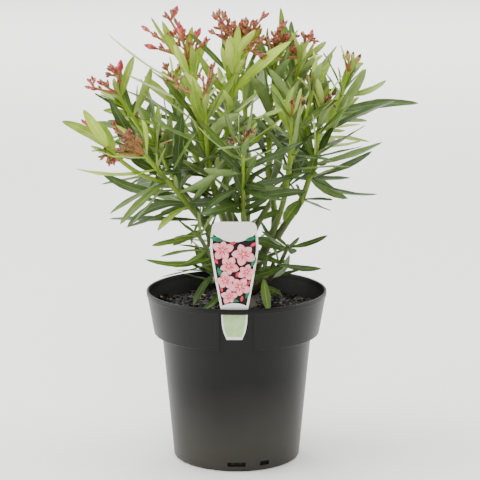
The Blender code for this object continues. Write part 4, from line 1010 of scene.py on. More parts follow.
# Leaves set nearer in: how far along its shoot or limb each grows, the same as above, and its tone; the deep
# tone given to most of them paints the shade among the stems.
INNER_LEAVES = {
    "front_stem": ((0.97, 36, -64, 306, 1.4, 0.0, 0.9, "deep"), (0.93, -24, -68, 304, 1.4, 0.0, 0.9, "deep"),
                   (0.87, -9, -58, 316, 1.4, 0.0, 1.0, "deep"),
                   (0.58, 53, -44, 243, 1.5, 0.05, 1.3, "deep"),
                   (0.42, 49, -35, 226, 0.8, -0.04, 0.9, "deep"),
                   (0.86, 34, -48, 292, 1.2, 0.0, 1.0, "deep"),
                   (0.96, -22, -50, 300, 1.0, 0.0, 0.9, "deep")),
    "left_stem": ((0.92, -70, -34, 246, 0.9, -0.06, 0.9, "grown"),
                  (0.86, -55, -29, 251, 0.6, 0.0, 0.6, "deep")),
    "centre_left_stem": ((0.97, -40, -23, 272, 1.2, -0.05, 1.0, "deep"),),
    "centre_stem": ((0.93, 15, -8, 293, 1.0, 0.0, 1.0, "deep"),),
    "right_stem": ((0.96, 55, -11, 241, 1.0, -0.05, 0.8, "grown"),),
    "right_inner_bough": ((0.55, 28, -26, 273, 1.2, -0.05, 1.0, "grown"),),
    "top_centre": ((0.84, -52, 14, 473, 0.6, 0.0, 0.55, "grown"),
                   (0.78, 2, -13, 485, 1.6, -0.03, 0.85, "young"),
                   (0.89, -16, -5, 464, 1.2, 0.0, 1.0, "grown"),
                   (0.73, -11, -9, 441, 1.2, 0.1, 1.0, "bright"),
                   (0.76, 48, 0, 447, 1.2, 0.0, 1.1, "bright"),
                   (0.07, 37, -11, 302, 0.8, 0.1, 1.2, "deep")),
    "right_upper_side": ((0.98, 17, -45, 387, 0.4, 0.0, 0.55, "bright"),),
    "centre_front": ((0.08, -4, -78, 340, 1.2, 0.0, 1.1, "deep"),
                     (0.23, 22, -79, 352, 1.5, -0.05, 1.0, "grown"),
                     (0.50, -18, -82, 359, 1.5, -0.05, 1.0, "deep"),
                     (0.91, 43, -87, 389, 0.5, 0.0, 0.5, "bright"),
                     (0.36, 31, -66, 315, 1.2, 0.0, 1.0, "deep"),
                     (0.62, 59, -74, 359, 0.7, 0.0, 0.8, "deep")),
    "upper_left": ((0.49, -102, -3, 409, 0.5, 0.0, 0.6, "grown"),),
    "centre_left": ((0.49, -6, -31, 364, 1.6, 0.0, 1.6, "grown"),
                    (0.09, -59, -22, 306, 1.0, 0.0, 1.3, "deep"),
                    (0.16, -47, -33, 311, 1.2, 0.0, 1.1, "grown")),
    "back_left": ((0.42, -62, 74, 293, 1.4, 0.0, 1.2, "deep"),),
    "left_high": ((0.66, -95, 7, 396, 1.2, 0.0, 1.3, "deep"),
                  (0.89, -156, 9, 408, 0.4, 0.0, 0.6, "grown")),
    "left_front": ((0.28, -120, -24, 264, 1.0, -0.05, 1.15, "deep"),
                   (0.66, -114, -46, 343, 1.0, 0.0, 1.2, "deep"),
                   (0.50, -106, -37, 298, 0.3, -0.05, 0.7, "grown"),
                   (0.60, -137, -56, 285, 0.3, -0.06, 0.7, "grown"),
                   (0.27, -121, -35, 266, 0.2, -0.08, 0.55, "deep")),
    "low_left": ((0.97, -92, -58, 251, 0.5, -0.06, 0.9, "grown"),
                 (0.70, -100, -68, 238, 0.9, 0.14, 0.9, "grown"),
                 (0.82, -58, -63, 232, 0.8, -0.05, 0.9, "grown")),
    "top_right": ((0.01, 82, 1, 329, 0.9, 0.05, 1.0, "deep"), (0.06, 49, 7, 345, 1.2, 0.0, 1.2, "deep")),
    "right_inner_top": ((0.53, 67, -29, 377, 1.4, 0.0, 1.3, "grown"),
                        (0.51, 48, -21, 359, 0.8, 0.0, 0.7, "grown"),
                        (0.59, 77, -37, 321, 1.6, 0.0, 1.6, "grown"),
                        (0.04, 51, -48, 275, 1.4, 0.0, 1.5, "grown")),
    "right_outer_top": ((0.68, 78, 7, 438, 1.0, 0.1, 1.2, "deep"),
                        (0.84, 95, 27, 451, 0.6, 0.0, 0.45, "grown"),
                        (0.17, 105, -15, 373, 1.3, 0.0, 1.2, "deep")),
}

# How wide a shoot's other leaves are against the rest.
WIDTH_OF_SHOOT = {"low_left": 0.8, "low_back": 0.7, "low_right": 0.75, "foot_left": 0.8, "foot_right": 0.8,
                  "right_inner_top": 0.85, "right_centre": 0.85, "top_centre": 0.78, "top_right": 0.82,
                  "top_right_side": 0.85, "centre_front": 0.72, "centre_left": 0.85, "left_front": 0.75}

MASSES = tuple(dict.fromkeys(shoot.mass for shoot in SHOOTS))
CROWN_CENTRE = (4.0, 12.0, 325.0)
CROWN_REACH = (190.0, 172.0, 168.0)
CROWN_DROP = 138.0
MOST_FORWARD = 0.84  # how squarely a drawn leaf may point to the front, where it would hide its stem
LEAVES_PER_WHORL = 3
WHORL_TURN = 60.0
FIRST_WHORL = 0.05
LAST_WHORL = 0.97
WHORL_CROWDING = 0.9  # below one, whorls stand closer together toward the tip
TOP_LEAF_SHORTER = 0.42
TURN_JITTER = 9.0
SPREAD_JITTER = 7.0
LENGTH_RANGE = (0.86, 1.08)
CURL_RANGE = (-0.14, 0.10)
ROLL_JITTER = 34.0
SKY_PULL = 0.5  # how much a blade turns up to the sky
LEAF_WIDTH_SHARE = 0.158  # of the plain leaves that look for room
LEAF_THICKNESS_SHARE = 0.018
LEAF_STATIONS = ((0.26, 0.86), (0.62, 1.0))  # share of the length, share of the full width
LEAF_ROOT_DEPTH = 1.0
LEAF_NUDGES = (0, 13, -13, 26, -26, 39, -39)  # degrees tried round the stem before a leaf is skipped
WIDE_NUDGES = (0, 20, -20, 40, -40, 60, -60)
SHORTER_SHARES = (0.85, 0.7, 0.55)
TUFT_CLIMB = (0.8, 1.0)
TUFT_SPREAD = (8.0, 32.0)
TUFT_LENGTH = (0.3, 0.6)
AXIL_SPREAD = (22.0, 58.0)
AXIL_LENGTH = (0.2, 0.42)
LEAF_ROOT_FACES = 3  # a leaf shape's first faces, which lie in and near its stem
SHOOT_SIDES = 3
SHOOT_STEPS = 7
SHOOT_BASE_RADIUS = 2.8
SHOOT_TIP_RADIUS = 1.8
SPRIG_RADIUS = 2.0
SPRIG_SHARE = 0.6  # height of a low sprig on the root crown
SPRIG_FLARE_SHARE = 0.4  # a lower height there, whose wider ring keeps a sprig's seat clear
SPRIG_RISE = 0.8
SIDE_SHOOT_SPREAD = 0.5
PEDUNCLE_RADIUS = 1.3
BUD_LENGTH = 12.0
BUD_RADIUS = 1.9
BRANCH_RADIUS = 1.1
BRANCH_LENGTH = 6.0
BRANCH_PER_BRANCH = 2.1
BRANCH_RANGE = (0.75, 1.15)
BRANCH_LOW_LEAN = 82.0
BRANCH_HIGH_LEAN = 32.0
FIRST_BRANCH = 0.35  # share of the stalk's height
BRANCH_SINK = 1.0  # how far a branch starts and its bud ends inside what carries it
BRANCH_RUN_ON = 2.0  # how far its twig runs on into the bud
FORK_SHARE = 0.6
BUD_AHEAD = 0.45  # how far the bud at a branch's end turns up the stalk's way
BUD_ASIDE, BUD_UP = 0.9, 0.3  # how far the one at its fork turns aside, and up the stalk's way
LARGE_BUDS = (0.85, 1.15)
SMALL_BUDS = (0.7, 0.95)
SMALL_BUD_SLIMMER = 0.85
STALK_TIP_RADIUS = 1.0
STALK_ROOT_DEPTH = 3.0
STALK_RISE = 0.3
STALK_ASKEW = (0.1, 0.9, 0.2)  # a way that no stalk points
BUD_ASKEW = (0.2, 0.5, 0.84)  # and one that no bud does
GOLDEN_ANGLE = 137.5


def growth_path(start, heading, end, steps):
    """A stem's midline, with FINER points to each step: it sets off along its heading and curves
    over to its end, as the parabola (1 - t)^2 start + 2 t (1 - t) control + t^2 end."""
    start, end = np.array(start, float), np.array(end, float)
    control = start + unit(heading) * PATH_SPRING * np.linalg.norm(end - start)
    t = np.linspace(0.0, 1.0, steps * FINER + 1)[:, None]
    return (1 - t) ** 2 * start + 2 * t * (1 - t) * control + t ** 2 * end


def tube(path, radii, sides, base_plane=None):
    """A closed tube along a path. Its first ring may be cut along the plane with a given normal."""
    rings = carried(path[None], rounded(np.array(radii)[None], sides))[0]
    if base_plane is not None:
        tangent = unit(path[1] - path[0])
        depth = (rings[0] - path[0]) @ base_plane / (tangent @ base_plane)
        rings[0] -= np.outer(depth, tangent)
    quads, poles = capped_faces(len(path), sides)
    return capped(rings, path[0], path[-1]), quads.tolist() + poles.tolist()


def point_on(path, share):
    """The place and heading at a share of a path's length, on the straight steps of the rule."""
    coarse = path[::FINER]
    place = share * (len(coarse) - 1)
    index = min(int(place), len(coarse) - 2)
    step = coarse[index + 1] - coarse[index]
    return coarse[index] + step * (place - index), unit(step)


def tip_axis(path):
    """The way a path points in the last step of the rule."""
    return unit(path[-1] - path[-1 - FINER])


# ---------------- root crown and limbs

def crown_radius(share, angles):
    """The root crown's radius: a flare that dies away upward, with three shallow lobes."""
    flare = (CROWN_FLARE_RADIUS - CROWN_NECK_RADIUS) * (1 - share) ** 3
    lobes = CROWN_LOBE_DEPTH * (1 - share) * np.cos(CROWN_LOBES * angles + CROWN_LOBE_TURN)
    return (CROWN_NECK_RADIUS + flare) * (1 + lobes)


def crown_axis(share):
    """The root crown's leaning midline, from its flat cut to its fork."""
    foot = np.array((*CROWN_FOOT, MIX_TOP_Z + FIT_GAP))
    return foot + (np.array(CROWN_TOP) - foot) * share


def crown_seat(angle):
    """Where a limb stands on the root crown's flat top: on the ring, or in its middle."""
    top = np.array(CROWN_TOP) + (0, 0, FIT_GAP)
    if angle is None:
        return top
    return top + STEM_RING_RADIUS * swung(X_AXIS, Y_AXIS, math.radians(angle))


def fork_seats(path, ends, radius):
    """Seats for what grows from a limb's tip: one in its middle, or several evenly round it."""
    axis = tip_axis(path)
    seat = path[-1] + axis * FIT_GAP
    if len(ends) == 1:
        return [seat]
    side = unit(np.cross(axis, (0, 1, 0)))
    across = np.cross(axis, side)
    leans = [np.array(end, float) - seat for end in ends]
    turns = [math.atan2(lean @ across, lean @ side) for lean in leans]
    order = sorted(range(len(ends)), key=turns.__getitem__)
    even = math.tau / len(ends)
    drift = [turns[which] - place * even for place, which in enumerate(order)]
    first = math.atan2(sum(map(math.sin, drift)), sum(map(math.cos, drift)))
    reach = (radius + FIT_GAP / 2) / math.sin(even / 2)
    seats = [None] * len(ends)
    for place, which in enumerate(order):
        seats[which] = seat + reach * swung(side, across, first + place * even)
    return seats


def limb_paths():
    """Drawn midline and seat plane of every limb, parents first."""
    paths = {}
    for limb in LIMBS:
        if limb.parent == "root_crown":
            seat, axis = crown_seat(limb.seat), np.array((0.0, 0.0, 1.0))
        else:
            parent = paths[limb.parent][0]
            family = [other for other in LIMBS if other.parent == limb.parent]
            widest = max(other.base for other in family)
            seats = fork_seats(parent, [other.end for other in family], widest * FORK_ROOM)
            seat, axis = seats[family.index(limb)], tip_axis(parent)
        heading = unit(np.array(limb.end) - seat) + LIMB_RISE * axis
        paths[limb.name] = growth_path(seat, heading, limb.end, LIMB_STEPS), axis
    return paths


# ---------------- shoots

def shoot_paths(limbs):
    """Drawn midline, base radius and seat plane of every shoot, each after what it grows from."""
    paths = {}
    for shoot in SHOOTS:
        plane, radius = None, SHOOT_BASE_RADIUS
        if shoot.source == "root_crown":
            turn, radius = math.radians(shoot.at), SPRIG_RADIUS
            plane = swung(X_AXIS, Y_AXIS, turn)
            seat = crown_axis(SPRIG_SHARE) + plane * (crown_radius(SPRIG_FLARE_SHARE, turn) + FIT_GAP)
            heading = plane + (0, 0, SPRIG_RISE)
        elif shoot.source in limbs:
            parent = limbs[shoot.source][0]
            plane = tip_axis(parent)
            family = [other for other in SHOOTS if other.source == shoot.source]
            seats = fork_seats(parent, [other.tip for other in family], SHOOT_BASE_RADIUS)
            seat = seats[family.index(shoot)]
            heading = unit(np.array(shoot.tip) - seat) + plane
        else:
            seat, axis = point_on(paths[shoot.source][0], shoot.at)
            radius = SPRIG_RADIUS
            lean = unit(np.array(shoot.tip) - seat)
            heading = lean + SIDE_SHOOT_SPREAD * unit(lean - axis * (lean @ axis))
        paths[shoot.name] = growth_path(seat, heading, shoot.tip, SHOOT_STEPS), radius, plane
    return paths


def stem_shape(path, radius, plane):
    """A shoot's plain three-sided stem, which stands for it while leaves look for room."""
    coarse = path[::FINER]
    return tube(coarse, np.linspace(radius, SHOOT_TIP_RADIUS, len(coarse)), SHOOT_SIDES, plane)


Growth = namedtuple("Growth", "base axis side across turn spread length curl roll climb")
Leaf = namedtuple("Leaf", "base heading normal length curl")


def climb_of(index, count):
    """How far up its shoot the one of so many stands, from 0 to 1."""
    return index / max(count - 1, 1)


def whorl_share(climb):
    """The share of a shoot's length at which a whorl stands. Whorls crowd together toward its tip."""
    return FIRST_WHORL + (LAST_WHORL - FIRST_WHORL) * climb ** WHORL_CROWDING


def growth_on(path, climb, turn, spread, length, curl, roll):
    """A drawn leaf on its whorl's place, with the directions that its turn is measured between."""
    base, axis = point_on(path, whorl_share(climb))
    side = unit(X_AXIS - axis * axis[0])
    return Growth(base, axis, side, np.cross(axis, side), turn, math.radians(spread), length, curl, roll,
                  climb)


def whorl_leaves(shoot, path, draw):
    """Leaves in whorls of three. Each whorl is turned from the last, and the spread narrows upward."""
    leaves = []
    for whorl in range(shoot.whorls):
        climb = climb_of(whorl, shoot.whorls)
        for third in range(LEAVES_PER_WHORL):
            turn = shoot.turn + WHORL_TURN * whorl + 360 / LEAVES_PER_WHORL * third
            turn += draw.gauss(0, TURN_JITTER)
            spread = shoot.low + (shoot.high - shoot.low) * climb + draw.gauss(0, SPREAD_JITTER)
            length = shoot.leaf * (1.0 - TOP_LEAF_SHORTER * climb ** 3) * draw.uniform(*LENGTH_RANGE)
            curl, roll = draw.uniform(*CURL_RANGE), draw.gauss(0, ROLL_JITTER)
            leaves.append(growth_on(path, climb, turn, spread, length, curl, roll))
    return leaves


def leaf_heading(growth, nudge=0):
    """The way a drawn leaf sets off from its stem, turned round it by a nudge."""
    outward = swung(growth.side, growth.across, math.radians(growth.turn + nudge))
    return swung(growth.axis, outward, growth.spread)


def aim_leaf(growth, nudge):
    """Turn one leaf's draws into its place: heading off the stem, blade facing up along it."""
    heading = leaf_heading(growth, nudge)
    normal = blade_normal(heading, growth.axis, growth.roll)
    return Leaf(growth.base, heading, normal, growth.length, growth.curl)


def blade_normal(heading, axis, roll):
    """The way a blade faces: up its stem and to the sky, rolled about its midrib."""
    facing = axis + SKY_PULL * Z_AXIS
    facing = unit(facing - heading * (facing @ heading))
    return swung(facing, np.cross(heading, facing), math.radians(roll))


def leaf_shape(leaf):
    """A leaf: a root point in the stem, two three-sided stations along a curved rib, and a tip."""
    shares = np.array([0.0] + [share for share, _ in LEAF_STATIONS] + [1.0])
    bend = np.outer(shares ** 2, leaf.normal) * leaf.curl
    rib = leaf.base + leaf.length * (np.outer(shares, leaf.heading) + bend)
    points = [rib[0] - leaf.heading * LEAF_ROOT_DEPTH]
    for centre, share, (_, width) in zip(rib[1:3], shares[1:3], LEAF_STATIONS):
        along = unit(leaf.heading + 2 * share * leaf.curl * leaf.normal)
        across = np.cross(along, leaf.normal)
        half = leaf.length * LEAF_WIDTH_SHARE * width / 2
        keel = np.cross(across, along) * leaf.length * LEAF_THICKNESS_SHARE
        points += [centre + across * half, centre - across * half, centre - keel]
    points.append(rib[-1])
    faces = [(0, 2, 1), (0, 3, 2), (0, 1, 3), (7, 4, 5), (7, 5, 6), (7, 6, 4)]
    for step in range(3):
        after = (step + 1) % 3
        faces.append((1 + step, 1 + after, 4 + after, 4 + step))
    return outward_faces(np.array(points), faces)


def outward_faces(points, faces):
    """Turn a closed shape's faces the right way round, by the sign of its volume."""
    volume = 0.0
    for face in faces:
        for i in range(1, len(face) - 1):
            volume += points[face[0]] @ np.cross(points[face[i]], points[face[i + 1]])
    return points, faces if volume > 0 else [face[::-1] for face in faces]


Spindle = namedtuple("Spindle", "base heading length radius")
BELLY_PLACE = 0.55


def spindle_shape(spindle):
    """A plain three-sided spindle, thickest a little past its middle, which stands for a bud."""
    base, heading, length, radius = spindle
    side = unit(np.cross(heading, BUD_ASKEW))
    across = np.cross(heading, side)
    ring = base + heading * length * BELLY_PLACE + radius * circle(side, across, 3)
    points = np.concatenate(([base - heading], ring, [base + heading * length]))
    faces = [(0, 1, 2), (0, 2, 3), (0, 3, 1), (4, 2, 1), (4, 3, 2), (4, 1, 3)]
    return outward_faces(points, faces)


def bud_pair(start, heading, axis, reach, draw):
    """One branch of a cluster: a twig, the bud at its end, which turns a little up the stalk's way,
    and a smaller bud at its fork, which stands out to one side."""
    end = start + heading * (reach - BRANCH_SINK)
    fork = start + heading * reach * FORK_SHARE
    aside = np.cross(heading, axis) * draw.choice((-1, 1))
    ahead = unit(heading + BUD_AHEAD * axis)
    apart = unit(heading + BUD_ASIDE * aside + BUD_UP * axis)
    large = BUD_LENGTH * draw.uniform(*LARGE_BUDS)
    small = BUD_LENGTH * draw.uniform(*SMALL_BUDS)
    return [Spindle(start, heading, reach + BRANCH_RUN_ON, BRANCH_RADIUS),
            Spindle(end, ahead, large, BUD_RADIUS),
            Spindle(fork, apart, small, BUD_RADIUS * SMALL_BUD_SLIMMER)]


def bud_cluster(shoot, path, draw):
    """A shoot's bud cluster: a stalk, and branches at the golden angle, the lowest held widest."""
    tip, axis = point_on(path, 1.0)
    axis = unit(axis + STALK_RISE * Z_AXIS)
    side = unit(np.cross(axis, STALK_ASKEW))
    across = np.cross(axis, side)
    stalk = np.array((tip - STALK_ROOT_DEPTH * axis, tip + shoot.stalk * axis))
    branches = []
    for branch in range(shoot.buds):
        climb = climb_of(branch, shoot.buds)
        outward = swung(side, across, math.radians(shoot.turn + GOLDEN_ANGLE * branch))
        lean = BRANCH_LOW_LEAN + (BRANCH_HIGH_LEAN - BRANCH_LOW_LEAN) * climb + draw.gauss(0, SPREAD_JITTER)
        heading = unit(swung(axis, outward, math.radians(lean)))
        height = FIRST_BRANCH + (1 - FIRST_BRANCH) * climb
        start = tip + axis * (shoot.stalk * height - BRANCH_SINK)
        reach = (BRANCH_LENGTH + BRANCH_PER_BRANCH * shoot.buds) * draw.uniform(*BRANCH_RANGE)
        branches.append(bud_pair(start, heading, axis, reach, draw))
    return stalk, branches


# ---------------- keeping to its own space

Room = namedtuple("Room", "mass owner low high whole blade")


def room_for(mass, owner, points, faces, roots=0):
    """The room that a shape takes: its box, and search trees of the whole and of its blade, which is
    all but its first faces, the root."""
    corners = np.asarray(points).tolist()
    whole = BVHTree.FromPolygons(corners, faces)
    blade = BVHTree.FromPolygons(corners, faces[roots:]) if roots else whole
    return Room(mass, owner, np.min(points, axis=0), np.max(points, axis=0), whole, blade)


class Taken:
    """The room that is already taken.

    Shapes of two masses may not meet at all. In one mass a leaf's blade keeps clear of the
    other blades, buds and stems, except its own shoot's, while its root may meet them.
    """

    def __init__(self):
        self.rooms = []
        self.lows, self.highs = np.empty((0, 3)), np.empty((0, 3))

    def add(self, room):
        """Take a room."""
        self.rooms.append(room)
        self.lows = np.vstack((self.lows, room.low))
        self.highs = np.vstack((self.highs, room.high))

    def meets(self, room, own):
        """Whether a room crosses another mass's, or its blade its own mass's, but for its own."""
        leafy = room.blade is not room.whole
        for index in np.flatnonzero(np.all((self.lows <= room.high) & (self.highs >= room.low), axis=1)):
            other = self.rooms[index]
            if other.mass != room.mass:
                if room.whole.overlap(other.whole):
                    return True
            elif leafy and other.owner not in own and room.blade.overlap(other.blade):
                return True
        return False


def packed_shape(name):
    """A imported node's own mesh, in millimetres."""
    mesh = frame["nodes"][name].data
    points = np.array([vertex.co for vertex in mesh.vertices]) / MM
    return points, [tuple(polygon.vertices) for polygon in mesh.polygons]


def inside_crown(point):
    """Whether a leaf's tip keeps to the crown: an egg round its middle, flatter below it."""
    span = point - np.array(CROWN_CENTRE)
    share = span / (*CROWN_REACH[:2], CROWN_REACH[2] if span[2] > 0 else CROWN_DROP)
    return share @ share < 1.0


def reaching_leaf(base, axis, tip, front, curl):
    """A leaf whose tip is given: its rib sets off so that its curl brings it there."""
    line = unit(tip - base)
    facing = axis + (0, -front, SKY_PULL)
    normal = unit(facing - line * (facing @ line))
    length = np.linalg.norm(tip - base) / math.sqrt(1 + curl ** 2)
    heading = (tip - base) / length - curl * normal
    return Leaf(base, unit(heading), normal, length, curl)


def reach_for(tip, growths, used):
    """The drawn leaf that a reaching leaf takes the place of: the one that points nearest its tip."""
    free = [index for index in range(len(growths)) if index not in used]
    ends = [growths[index].base + leaf_heading(growths[index]) * growths[index].length for index in free]
    return free[int(np.argmin(np.linalg.norm(np.array(ends) - tip, axis=1)))]


def keep_free(shape, mass, owner, taken, own=(), roots=0):
    """Whether a shape meets nothing that is in its way. If so it takes its room."""
    room = room_for(mass, owner, *shape, roots)
    if taken.meets(room, own):
        return False
    taken.add(room)
    return True


Blade = namedtuple("Blade", "leaf shoot climb width twist tone")


def place_reaching(shoot, growths, taken, blades):
    """Place a shoot's reaching leaves, and return the drawn leaves that are left to place."""
    used = set()
    own = (shoot.name + " stem", shoot.name + " buds")
    for *tip, front, curl, width in REACHING_LEAVES.get(shoot.name, ()):
        index = reach_for(np.array(tip, float), growths, used)
        used.add(index)
        growth = growths[index]
        leaf = reaching_leaf(growth.base, growth.axis, np.array(tip, float), front, curl)
        if keep_free(leaf_shape(leaf), shoot.mass, shoot.name, taken, own, LEAF_ROOT_FACES):
            blades.append(Blade(leaf, shoot.name, growth.climb, width, SET_TWIST, None))
    return [growth for index, growth in enumerate(growths) if index not in used]


def place_inner(name, mass, path, taken, blades):
    """Place the inner leaves of a shoot or limb where there is room for them."""
    own = (name, name + " stem", name + " buds")
    for share, *tip, front, curl, width, tone in INNER_LEAVES.get(name, ()):
        base, axis = point_on(path, share)
        leaf = reaching_leaf(base, axis, np.array(tip, float), front, curl)
        if keep_free(leaf_shape(leaf), mass, name, taken, own, LEAF_ROOT_FACES):
            blades.append(Blade(leaf, name, share, width, SET_TWIST, tone))


def place_drawn(shoot, growths, taken, blades, nudges=LEAF_NUDGES):
    """Place drawn leaves, each turned until it finds free room. Returns those that find none."""
    own = (shoot.name + " stem",)
    skipped = []
    for growth in growths:
        for nudge in nudges:
            leaf = aim_leaf(growth, nudge)
            tip = leaf.base + leaf.length * (leaf.heading + leaf.curl * leaf.normal)
            if not inside_crown(tip) or -leaf.heading[1] > MOST_FORWARD:
                continue
            if keep_free(leaf_shape(leaf), shoot.mass, shoot.name, taken, own, LEAF_ROOT_FACES):
                width = WIDTH_OF_SHOOT.get(shoot.name, 1.0)
                blades.append(Blade(leaf, shoot.name, growth.climb, width, DRAWN_TWIST, None))
                break
        else:
            skipped.append(growth)
    return skipped


def place_shorter(shoot, growths, taken, blades):
    """Place leaves that found no room again, ever shorter and turned further."""
    for share in SHORTER_SHARES:
        shorter = [growth._replace(length=growth.length * share) for growth in growths]
        left = place_drawn(shoot, shorter, taken, blades, WIDE_NUDGES)
        growths = [growth._replace(length=growth.length / share) for growth in left]


def fine_growths(shoot, path, draw, count):
    """The finer leaves: a tuft of young ones round each cluster's foot, and short ones in the axils."""
    growths = []
    for index in range(count + shoot.whorls):
        tuft = index < count
        climb = draw.uniform(*TUFT_CLIMB) if tuft else climb_of(index - count, shoot.whorls)
        spread = draw.uniform(*(TUFT_SPREAD if tuft else AXIL_SPREAD))
        length = shoot.leaf * draw.uniform(*(TUFT_LENGTH if tuft else AXIL_LENGTH))
        growths.append(growth_on(path, climb, draw.uniform(0, 360), spread, length,
                                 draw.uniform(*CURL_RANGE), draw.gauss(0, ROLL_JITTER)))
    return growths


Shrub = namedtuple("Shrub", "limbs shoots blades clusters")
Cluster = namedtuple("Cluster", "shoot stalk branches")


def place_cluster(shoot, path, seed, taken):
    """Place a shoot's bud cluster: each branch comes with the buds on it that found room."""
    stalk, branches = bud_cluster(shoot, path, random.Random(f"{seed} buds {shoot.name}"))
    owner = shoot.name + " buds"
    keep_free(tube(stalk, (PEDUNCLE_RADIUS, STALK_TIP_RADIUS), 3), shoot.mass, owner, taken)
    placed = []
    for spindles in branches:
        free = [keep_free(spindle_shape(spindle), shoot.mass, owner, taken) for spindle in spindles]
        if free[0]:
            placed.append([spindle for spindle, kept in zip(spindles, free) if kept])
    return Cluster(shoot, stalk, placed)


@lru_cache(maxsize=1)
def grown(seed, fine_leaves):
    """Grow the shrub: stems, then buds, then leaves, each clear of what is there already."""
    taken = Taken()
    limbs = limb_paths()
    for name in ["pot", "potting_mix", "label", "root_crown"] + [limb.name for limb in LIMBS]:
        taken.add(room_for(name, name, *packed_shape(name)))
    shoots = shoot_paths(limbs)
    for shoot in SHOOTS:
        taken.add(room_for(shoot.mass, shoot.name + " stem", *stem_shape(*shoots[shoot.name])))
    clusters = [place_cluster(shoot, shoots[shoot.name][0], seed, taken) for shoot in SHOOTS if shoot.buds]
    growths, blades = {}, []
    for shoot in SHOOTS:
        draw = random.Random(f"{seed} leaves {shoot.name}")
        growths[shoot.name] = whorl_leaves(shoot, shoots[shoot.name][0], draw)
    for shoot in SHOOTS:
        growths[shoot.name] = place_reaching(shoot, growths[shoot.name], taken, blades)
    for limb in LIMBS:
        place_inner(limb.name, limb.name, limbs[limb.name][0], taken, blades)
    for shoot in SHOOTS:
        place_inner(shoot.name, shoot.mass, shoots[shoot.name][0], taken, blades)
    for shoot in SHOOTS:
        growths[shoot.name] = place_drawn(shoot, growths[shoot.name], taken, blades)
    for shoot in SHOOTS:
        place_shorter(shoot, growths[shoot.name], taken, blades)
    for shoot in SHOOTS:
        draw = random.Random(f"{seed} fine leaves {shoot.name}")
        finer = fine_growths(shoot, shoots[shoot.name][0], draw, fine_leaves if shoot.buds else 0)
        place_drawn(shoot, finer, taken, blades, WIDE_NUDGES)
    return Shrub(limbs, shoots, blades, clusters)


def shrub_in(context):
    """The shrub, as the scene's settings grow it."""
    shrub = context.scene.oleander_shrub
    return grown(shrub.seed, shrub.fine_leaves)


# ---------------- bark and twigs

LIMB_RING = 16
TWIG_RING = 10
SINK = 3.0  # how far a limb or twig runs on into what carries it
SCAR_SPACING = 15.0
SCAR_HEIGHT = 0.13  # share of the radius
SCAR_LENGTH = 2.0
SCAR_SHIFT = 0.2  # radians by which a row of scars is drawn aside
SCAR_COLLAR = 0.35  # share of its height that runs right round the stem
SCAR_WAVE = (1.5, 6)  # a row's shape: the cosine of so many times the angle, to a power
FISSURE = 0.035
FURROWS = ((3, 0.5), (5, 0.4), (8, 0.25))  # waves round a stem: how many, and how strong
FURROW_DRIFT = 0.06  # radians to a millimetre by which a wave may turn as it climbs
FURROW_SWING = 0.6
FURROW_LENGTHS = (9, 17)  # millimetres over which it swings
BASE_FLARE = 0.22
NODE_SWELL = 0.16
FLARE_FADE = 7.0
NODE_LENGTH = 0.018  # share of the shoot over which it swells and slims again
BARK_FULLNESS = 1.15
TWIG_FULLNESS = 1.25
BARK_SEED = 11
SLIM_SHOOTS = {"centre_front": 0.8}  # shoots that are slimmer than the rest, and how much
CROWN_RING = 36
CROWN_ROWS = 26
CROWN_SHOULDER = 0.96  # share of its height up to which they stand evenly
CROWN_LENGTH = 25.0
CROWN_FURROW = 1.4  # depth of its furrows against the limbs'
CROWN_ROOT = -0.12  # share of its height at which the root crown starts, sunk in the mix
CROWN_DOME = ((0.96, 1.0), (0.86, 2.2), (0.65, 3.2), (0.35, 3.8))  # each ring's width and rise
CROWN_PEAK = 4.0


def run_on(path, back, ahead):
    """A midline carried on straight at both ends, by a distance along each of two headings."""
    return np.concatenate(([path[0] - back], path, [path[-1] + ahead]))


def scars(along, angles, spacing, draws):
    """Leaf scars in threes: low mounds at even spacing along a stem, each three turned from the last."""
    rows = np.arange(1, int(along[-1] / spacing) + 1) * spacing
    waves, power = SCAR_WAVE
    mounds = np.zeros((len(along), len(angles)))
    for index, row in enumerate(rows):
        near = np.exp(-((along - row) / SCAR_LENGTH) ** 2)
        turn = waves * (angles - index * math.pi / 3 - draws.uniform(-SCAR_SHIFT, SCAR_SHIFT))
        mounds += near[:, None] * (SCAR_COLLAR + (1 - SCAR_COLLAR) * np.cos(turn) ** power)
    return mounds


def fissures(along, angles, draws):
    """Shallow furrows that run up a stem and wander: a sum of waves round it, each drifting along it."""
    wave = np.zeros((len(along), len(angles)))
    for count, share in FURROWS:
        drift = draws.uniform(-FURROW_DRIFT, FURROW_DRIFT) * along
        drift = drift + FURROW_SWING * np.sin(along / draws.uniform(*FURROW_LENGTHS))
        wave += share * np.cos(count * angles + (drift + draws.uniform(0, math.tau))[:, None])
    return wave


def limb_radii(path, limb, draws):
    """A limb's radius at each station and side: a taper, a flared foot, scars and fissures."""
    steps = np.linalg.norm(np.diff(path, axis=0), axis=1)
    along = np.concatenate(((0.0,), np.cumsum(steps)))
    taper = BARK_FULLNESS * (limb.base + (limb.tip - limb.base) * (along / along[-1]))
    taper *= 1 + BASE_FLARE * np.exp(-along / FLARE_FADE)
    angles = even_angles(LIMB_RING)
    relief = 1 + SCAR_HEIGHT * scars(along, angles, SCAR_SPACING, draws)
    relief += FISSURE * fissures(along, angles, draws)
    return taper[:, None] * relief


